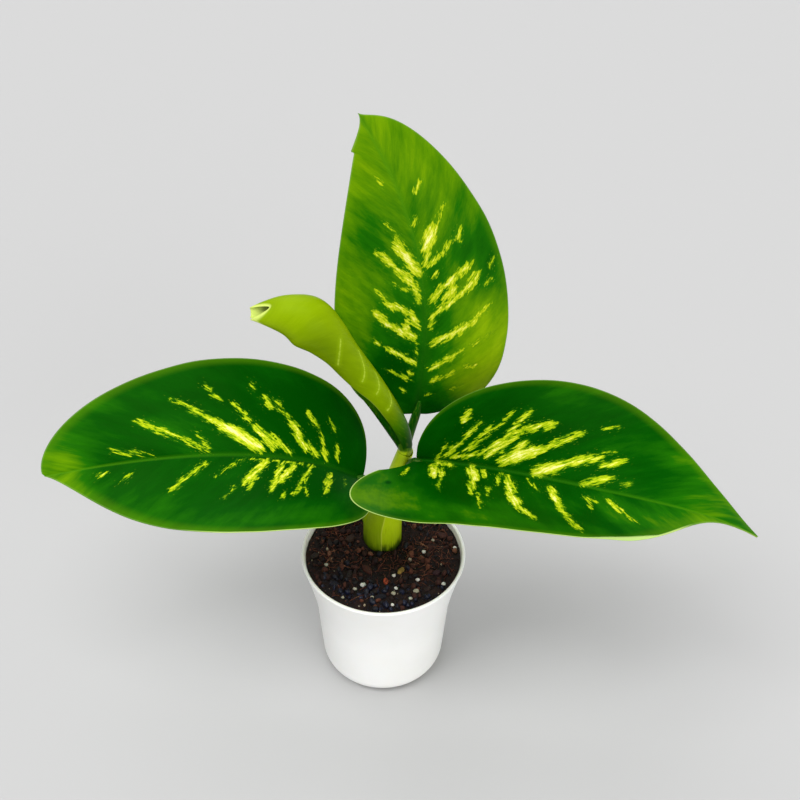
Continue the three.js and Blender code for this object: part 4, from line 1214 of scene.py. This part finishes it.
class Blade:
    """The upper face of an open leaf on a grid: u from base to tip, v from -1 through the midrib to 1."""

    def __init__(self, leaf):
        self.leaf = leaf
        step = np.linspace(0, 1, BLADE.rows)
        side = np.linspace(-1, 1, BLADE.columns)
        u = mix(BLADE.first_share, BLADE.last_share, (1 - np.cos(math.pi * step)) / 2)
        v = (1 - BLADE.side_ease) * side + BLADE.side_ease * np.sin(side * math.pi / 2)
        self.u, self.v = np.meshgrid(u, v, indexing="ij")
        along, flat = facing_along(lambda share: midrib_point(leaf, share), u, leaf.face)
        twist = np.radians(leaf.twist) * (u - 0.5)
        left = np.cross(flat, along)
        cos = np.cos(twist)[:, None]
        sin = np.sin(twist)[:, None]
        self.left = left * cos + flat * sin
        self.normal = flat * cos - left * sin
        self.along = along
        midrib = midrib_point(leaf, np.linspace(0, 1, BLADE.length_steps))
        self.length = np.linalg.norm(np.diff(midrib, axis=0), axis=1).sum()
        shape = np.where(self.v > 0, outline(self.u, leaf.left), outline(self.u, leaf.right))
        self.width = self.half("width") * shape
        if hasattr(leaf, "tip_trim"):
            self.width = self.width * (1 - np.exp(-(1 - self.u) / leaf.tip_trim))
        self.lay_out()

    def half(self, key, at=None, plain=None):
        """A named value of the half that each grid point lies on."""
        values = [getattr(side, key, plain) for side in (self.leaf.left, self.leaf.right)]
        if at is not None:
            values = [value[at] for value in values]
        return np.where(self.v > 0, values[0], values[1]).astype(float)

    def torn_margin(self):
        """How far the margin stands out above a small tear: it widens towards it, then steps back in."""
        low, high, height = (self.half("tooth", at, (0, 1, 0)) for at in range(3))
        ramp = np.clip((high - self.u) / (high - low), 0, 1)
        step_back = np.clip((self.u - low) / BLADE.tooth_return, 0, 1)
        return height * ramp ** BLADE.tooth_power * step_back * np.abs(self.v) ** BLADE.tooth_reach

    def lay_out(self):
        """Places the grid's points, and finds where each lies on the flattened leaf and between its veins."""
        across = np.abs(self.v)
        fold = np.radians(mix(self.half("fold", 0), self.half("fold", 1), self.u))
        curl = np.radians(self.half("curl"))
        out = self.width * (np.sin(fold + curl * across) - np.sin(fold)) / curl
        rise = self.width * (np.cos(fold) - np.cos(fold + curl * across)) / curl
        ease = self.half("sweep_ease", plain=BLADE.sweep_ease)
        sweep = mix(self.half("sweep", 0), self.half("sweep", 1), self.u ** ease)
        forward = self.width * sweep * (BLADE.early_sweep * across + (1 - BLADE.early_sweep) * across ** 2)
        side = np.where(self.v > 0, 1, -1)
        out = out + self.torn_margin()
        self.points = (
            midrib_point(self.leaf, self.u)
            + self.left[:, None] * (out * side)[..., None]
            + self.normal[:, None] * rise[..., None]
            + self.along[:, None] * forward[..., None]
        )
        self.flat_along = self.u * self.length + forward
        self.flat_across = self.width * self.v
        self.edge = self.width * (1 - across)
        first = self.half("vein_slope", 0)
        growth = self.half("vein_slope", 1)
        reach = np.abs(self.flat_across)
        start = self.flat_along - reach * first - VEINS.bend * reach ** 2
        start = start / (1 + reach * growth / self.length)
        self.vein_start = start
        uneven = VEINS.unevenness * np.sin(start / VEINS.unevenness_length + side)
        self.phase = start / VEINS.spacing + uneven + VEINS.stagger * side

    def relief(self):
        """Height above the plain face: sunken midrib and laterals, swollen tissue, a waved margin."""
        reach = np.abs(self.flat_across)
        groove_width = BLADE.groove_half_width * (1 - BLADE.groove_width_fall * self.u)
        groove_depth = BLADE.groove_depth * (1 - BLADE.groove_depth_fall * self.u)
        groove = groove_depth * np.exp(-((reach / groove_width) ** 2))
        from_vein = np.abs(self.phase - np.round(self.phase)) * VEINS.spacing
        inside = np.clip(reach / VEINS.clear_of_rib, 0, 1) * np.clip(self.edge / VEINS.clear_of_margin, 0, 1)
        lateral = VEINS.groove_depth * np.exp(-((from_vein / VEINS.groove_half_width) ** 2))
        swell = VEINS.swell * (1 - np.cos(2 * math.pi * self.phase)) / 2
        loose = np.stack([self.flat_along, self.flat_across, self.flat_along * 0], axis=-1)
        dents = DENTS.depth * lumps(loose, DENTS.size, 5) * np.clip(reach / DENTS.clear_of_rib, 0, 1)
        wave = MARGIN_WAVE.height * lumps(loose * [1, MARGIN_WAVE.lengthening, 1], MARGIN_WAVE.size, 8)
        ends = np.clip(np.minimum(self.u, 1 - self.u) * MARGIN_WAVE.ends, 0, 1)
        near_margin = np.abs(self.v) ** MARGIN_WAVE.reach * ends
        return (swell - lateral) * inside - groove + dents + wave * near_margin

    def thickness(self):
        reach = np.abs(self.flat_across)
        rib_width = BLADE.rib_half_width * (1 - BLADE.rib_width_fall * self.u)
        rib_depth = BLADE.rib_depth * (1 - self.u) ** BLADE.rib_depth_power
        rib = rib_depth * np.exp(-((reach / rib_width) ** 2) * BLADE.rib_steepness)
        plain = mix(BLADE.thickness, BLADE.margin_thickness, self.v ** 2)
        return plain * (1 - BLADE.margin_thinning * np.abs(self.v) ** BLADE.margin_power) + rib

    def streak_depth(self):
        """How far inside the nearest streak each point lies, in mm. It is below 0 outside."""
        best = np.full(self.u.shape, STREAKS.outside)
        for from_along, from_across, to_along, to_across, half_width in self.leaf.streaks:
            run_along = to_along - from_along
            run_across = to_across - from_across
            ahead = self.flat_along - from_along
            aside = self.flat_across - from_across
            t = np.clip((ahead * run_along + aside * run_across) / (run_along ** 2 + run_across ** 2), 0, 1)
            gap = np.hypot(ahead - t * run_along, aside - t * run_across)
            shape = (t + STREAKS.start) ** STREAKS.start_power * (1 - t) ** STREAKS.end_power
            width = half_width * self.leaf.streak_width * shape
            best = np.maximum(best, width - gap)
        return best

    def pale(self):
        """How pale the very margin is."""
        before_end = (self.half("pale_to", plain=0) - self.u) / MARGIN.pale_fade
        return mix(MARGIN.pale_least, 1.0, np.clip(before_end, 0, 1))

    def turned_edge(self):
        """1 where the margin turns over and shows its pale underside."""
        low, high, width = (self.half("turned_edge", at, (0, 1, 0)) for at in range(3))
        part = np.clip((self.u - low) / (high - low), 0, 1)
        return np.clip((width * np.sin(math.pi * part) - self.edge) / MARGIN.turned_fade, 0, 1)

    def tone(self):
        """Lightness of the green, from 0, darkest, to 1, with painted sheen and painted shade among its
        patches.
        """
        total = self.leaf.tone + MARGIN.tone_rise * np.abs(self.v) ** 2 + MARGIN.tip_tone_rise * self.u ** 2
        # The patches are partly the leaf's own mottling and partly painted sheen and painted shade.
        for along, across, reach_along, reach_across, amount in self.leaf.tones:
            ahead = (self.flat_along - along) / reach_along
            aside = (self.flat_across - across) / reach_across
            total = total + amount * np.exp(-(ahead ** 2 + aside ** 2))
        return total


def grid_normals(points):
    return unit(np.cross(np.gradient(points, axis=0), np.gradient(points, axis=1)))


def vein_place(start, across, side):
    """Where a point lies along and across the veins, with the two halves kept well apart."""
    return np.stack([start, np.abs(across), np.where(side > 0, OTHER_HALF, 0.0)], axis=-1)


def both_faces(values):
    """The values of a sheet's grid, given to its front and its back."""
    made = {}
    for key, value in values.items():
        flat = value.reshape(-1, 3) if value.ndim == 3 else value.ravel()
        made[key] = np.concatenate([flat, flat])
    count = len(made["tone"]) // 2
    made["under"] = np.concatenate([np.zeros(count), np.ones(count)])
    return made


def make_open_leaf(node, surface):
    blade = Blade(LEAVES[node])
    normals = grid_normals(blade.points)
    front = blade.points + normals * blade.relief()[..., None]
    back = front - normals * blade.thickness()[..., None]
    rib_width = BLADE.groove_half_width * BLADE.rib_line_width * (1 - BLADE.rib_line_fall * blade.u)
    rib_width = rib_width * getattr(LEAVES[node], "rib_width", 1)
    values = both_faces({
        "tone": blade.tone(),
        "streak": blade.streak_depth(),
        "lateral": np.cos(2 * math.pi * blade.phase),
        "edge": blade.edge,
        "pale": blade.pale(),
        "turned_edge": blade.turned_edge(),
        "rib": np.exp(-((blade.flat_across / rib_width) ** 4)),
        "share": blade.u,
        "vein_place": vein_place(blade.vein_start, blade.flat_across, blade.v),
    })
    points, faces = closed_sheet(front, back)
    new_piece(node.replace("leaf", "blade"), points, faces, surface, [node], values)


# ---------------------------------------------------------------- rolled young leaf


def rolled_points(u, v):
    """The inward face of the rolled leaf, and the directions away from its axis."""
    roll = YOUNG_LEAF
    along, front = facing_along(lambda share: bezier(roll.axis, share), u[:, 0], roll.face)
    left = np.cross(front, along)
    turned = np.where(v < 0, v * eased(roll.outer_turn, u), v * eased(roll.inner_turn, u))
    layers_in = np.maximum(0, turned) / (360 - roll.midrib_angle)
    radius = np.maximum(roll.least_radius, eased(roll.radius, u) - roll.layer_gap * layers_in)
    angle = np.radians(roll.midrib_angle + turned)
    near_end = np.clip((u - roll.slant_from) / (1 - roll.slant_from), 0, 1) ** 2
    flatness = mix(roll.flatness, roll.end_flatness, near_end)
    away = left[:, None] * np.cos(angle)[..., None] + front[:, None] * (np.sin(angle) * flatness)[..., None]
    low, high = roll.slant_angles
    part = np.clip((np.degrees(angle) - low) / (high - low), 0, 1)
    back = roll.slant * near_end * np.sin(math.pi * part ** roll.slant_lean) * (v < 0)
    return bezier(roll.axis, u) - along[:, None] * back[..., None] + away * radius[..., None], away


def young_tone(u, v):
    """Lightness of the rolled leaf's green: painted shade makes it darkest at the base and on the strip
    rolled inside.
    """
    shade = YOUNG_SHADE
    (at_u, at_v), (reach_u, reach_v) = shade.middle_at, shade.middle_reach
    middle = np.exp(-(((v - at_v) / reach_v) ** 2)) * np.exp(-(((u - at_u) / reach_u) ** 2))
    # Painted shade on the strip rolled inside, and below on the base down among the sheaths.
    strip = np.clip(v * shade.strip_fade, 0, 1) * np.clip((shade.strip_end - u) * shade.strip_fade, 0, 1)
    base = shade.base * np.exp(-((u / shade.base_reach) ** 3))
    return shade.tone + shade.tip_rise * u - shade.middle * middle - shade.inner_strip * strip - base


def young_pale(u, v, edge):
    """How pale the rolled leaf is: at the margin, more so towards the tip, and at the end of the roll.

    At the end the outer half has a pale rim, and the inner half is paled further back as painted light inside
    the roll.
    """
    pale = YOUNG_PALE
    from_base = np.clip((u - pale.base_from) / pale.base_over, 0, 1)
    widening = pale.widening * u ** 4
    in_margin = np.clip((pale.width + widening - edge) / pale.fade, 0, 1)
    margin = in_margin * from_base * np.where(v < 0, pale.widening + widening, pale.inner)
    # Painted light: the inner half's end is paled to lift the shade inside the roll; the outer half's end is
    # its pale rim.
    past_end = (u - np.where(v > 0, pale.inner_end, pale.outer_end)) / pale.end_over
    return np.maximum(margin, pale.end * np.clip(past_end, 0, 1))


def young_arcs(u, v):
    """How far inside the nearest pale arc each point lies, in mm. It is below 0 outside."""
    roll = YOUNG_LEAF
    flat = np.stack([u * roll.length, v * roll.half_width], axis=-1)
    best = np.full(u.shape, STREAKS.outside)
    for turns in roll.arcs:
        line = bezier(turns, np.linspace(0, 1, roll.arc_points)) * [roll.length, roll.half_width]
        for spot in line:
            best = np.maximum(best, roll.arc_half_width - np.linalg.norm(flat - spot, axis=-1))
    return best


def make_young_leaf():
    roll = YOUNG_LEAF
    share = np.linspace(roll.end_gap, 1 - roll.end_gap, roll.rows)
    u, v = np.meshgrid(share, np.linspace(-1, 1, roll.columns), indexing="ij")
    inward, away = rolled_points(u, v)
    normals = grid_normals(inward)
    normals = normals * np.sign((normals * away).sum(axis=-1, keepdims=True).mean())
    across = v * roll.half_width * np.sin(math.pi * u) ** roll.end_power
    along = u * roll.length
    edge = (1 - np.abs(v)) * roll.half_width * np.sin(math.pi * u) ** roll.end_power
    start = (along - np.abs(across) * roll.vein_slope) / (1 + np.abs(across) * roll.vein_spread)
    height, size = roll.relief
    relief = height * lumps(np.stack([along, across, across * 0], axis=-1), size, 4)
    outward = inward + normals * (roll.thickness + relief)[..., None]
    values = both_faces({
        "tone": young_tone(u, v),
        "pale": young_pale(u, v, edge),
        "arc": young_arcs(u, v),
        "vein_place": vein_place(start, across, v),
    })
    points, faces = closed_sheet(outward, inward)
    new_piece("blade_young", points, faces, young_leaf_surface(), ["leaf_young"], values)


# ---------------------------------------------------------------- stage


def make_camera():
    data = bpy.data.cameras.new("camera")
    data.lens = CAMERA.lens
    data.sensor_width = CAMERA.sensor
    camera = new_object("camera", data)
    camera.location = Vector(CAMERA.place) * MM
    tilt = Euler((math.radians(90 - CAMERA.pitch), 0, 0)).to_matrix()
    roll = Euler((0, 0, math.radians(CAMERA.roll))).to_matrix()
    camera.rotation_euler = (tilt @ roll).to_euler()
    bpy.context.scene.camera = camera


def make_floor():
    s = Surface("pale_floor", {"Specular IOR Level": 0.1, "Roughness": 0.9})
    corners = np.array([(-1, -1, 0), (1, -1, 0), (1, 1, 0), (-1, 1, 0)]) * FLOOR.half_side
    floor = new_body("floor", corners, np.array([(0, 1, 2, 3)]))
    floor.data.materials.append(s.finish(FLOOR.colour))


def make_lights():
    """A soft key from the front left, softer ones from behind and low on the right, and an even surround."""
    scene = bpy.context.scene
    for name, place, energy, angle in SUNS:
        data = bpy.data.lights.new(name, "SUN")
        data.energy = energy
        data.angle = math.radians(angle)
        sun = new_object(name, data)
        sun.location = place
        sun.rotation_euler = (-Vector(place)).to_track_quat("-Z", "Y").to_euler()
    world = bpy.data.worlds.new("surround")
    world.use_nodes = True
    world.node_tree.nodes["Background"].inputs["Color"].default_value = (1, 1, 1, 1)
    world.node_tree.nodes["Background"].inputs["Strength"].default_value = SURROUND
    scene.world = world
    scene.view_settings.view_transform = "Standard"
    scene.view_settings.look = "None"


# ---------------------------------------------------------------- the whole plant

make_camera()
make_floor()
make_lights()
make_pot()
make_bed()
make_crumbs("mix_crumbs_large", LARGE_CRUMBS)
make_crumbs("mix_crumbs_small", SMALL_CRUMBS)
make_fibres()
dress_grains()
dress("stem", root_surface("cane_skin", "9fb44a", "5f7a1e"), CORK)
dress("roots", root_surface("root_skin", "d8cfae", "a08a62"), CORK)
make_stalks()
leaf_skin = leaf_surface()
for leaf_node in LEAVES:
    make_open_leaf(leaf_node, leaf_skin)
make_young_leaf()
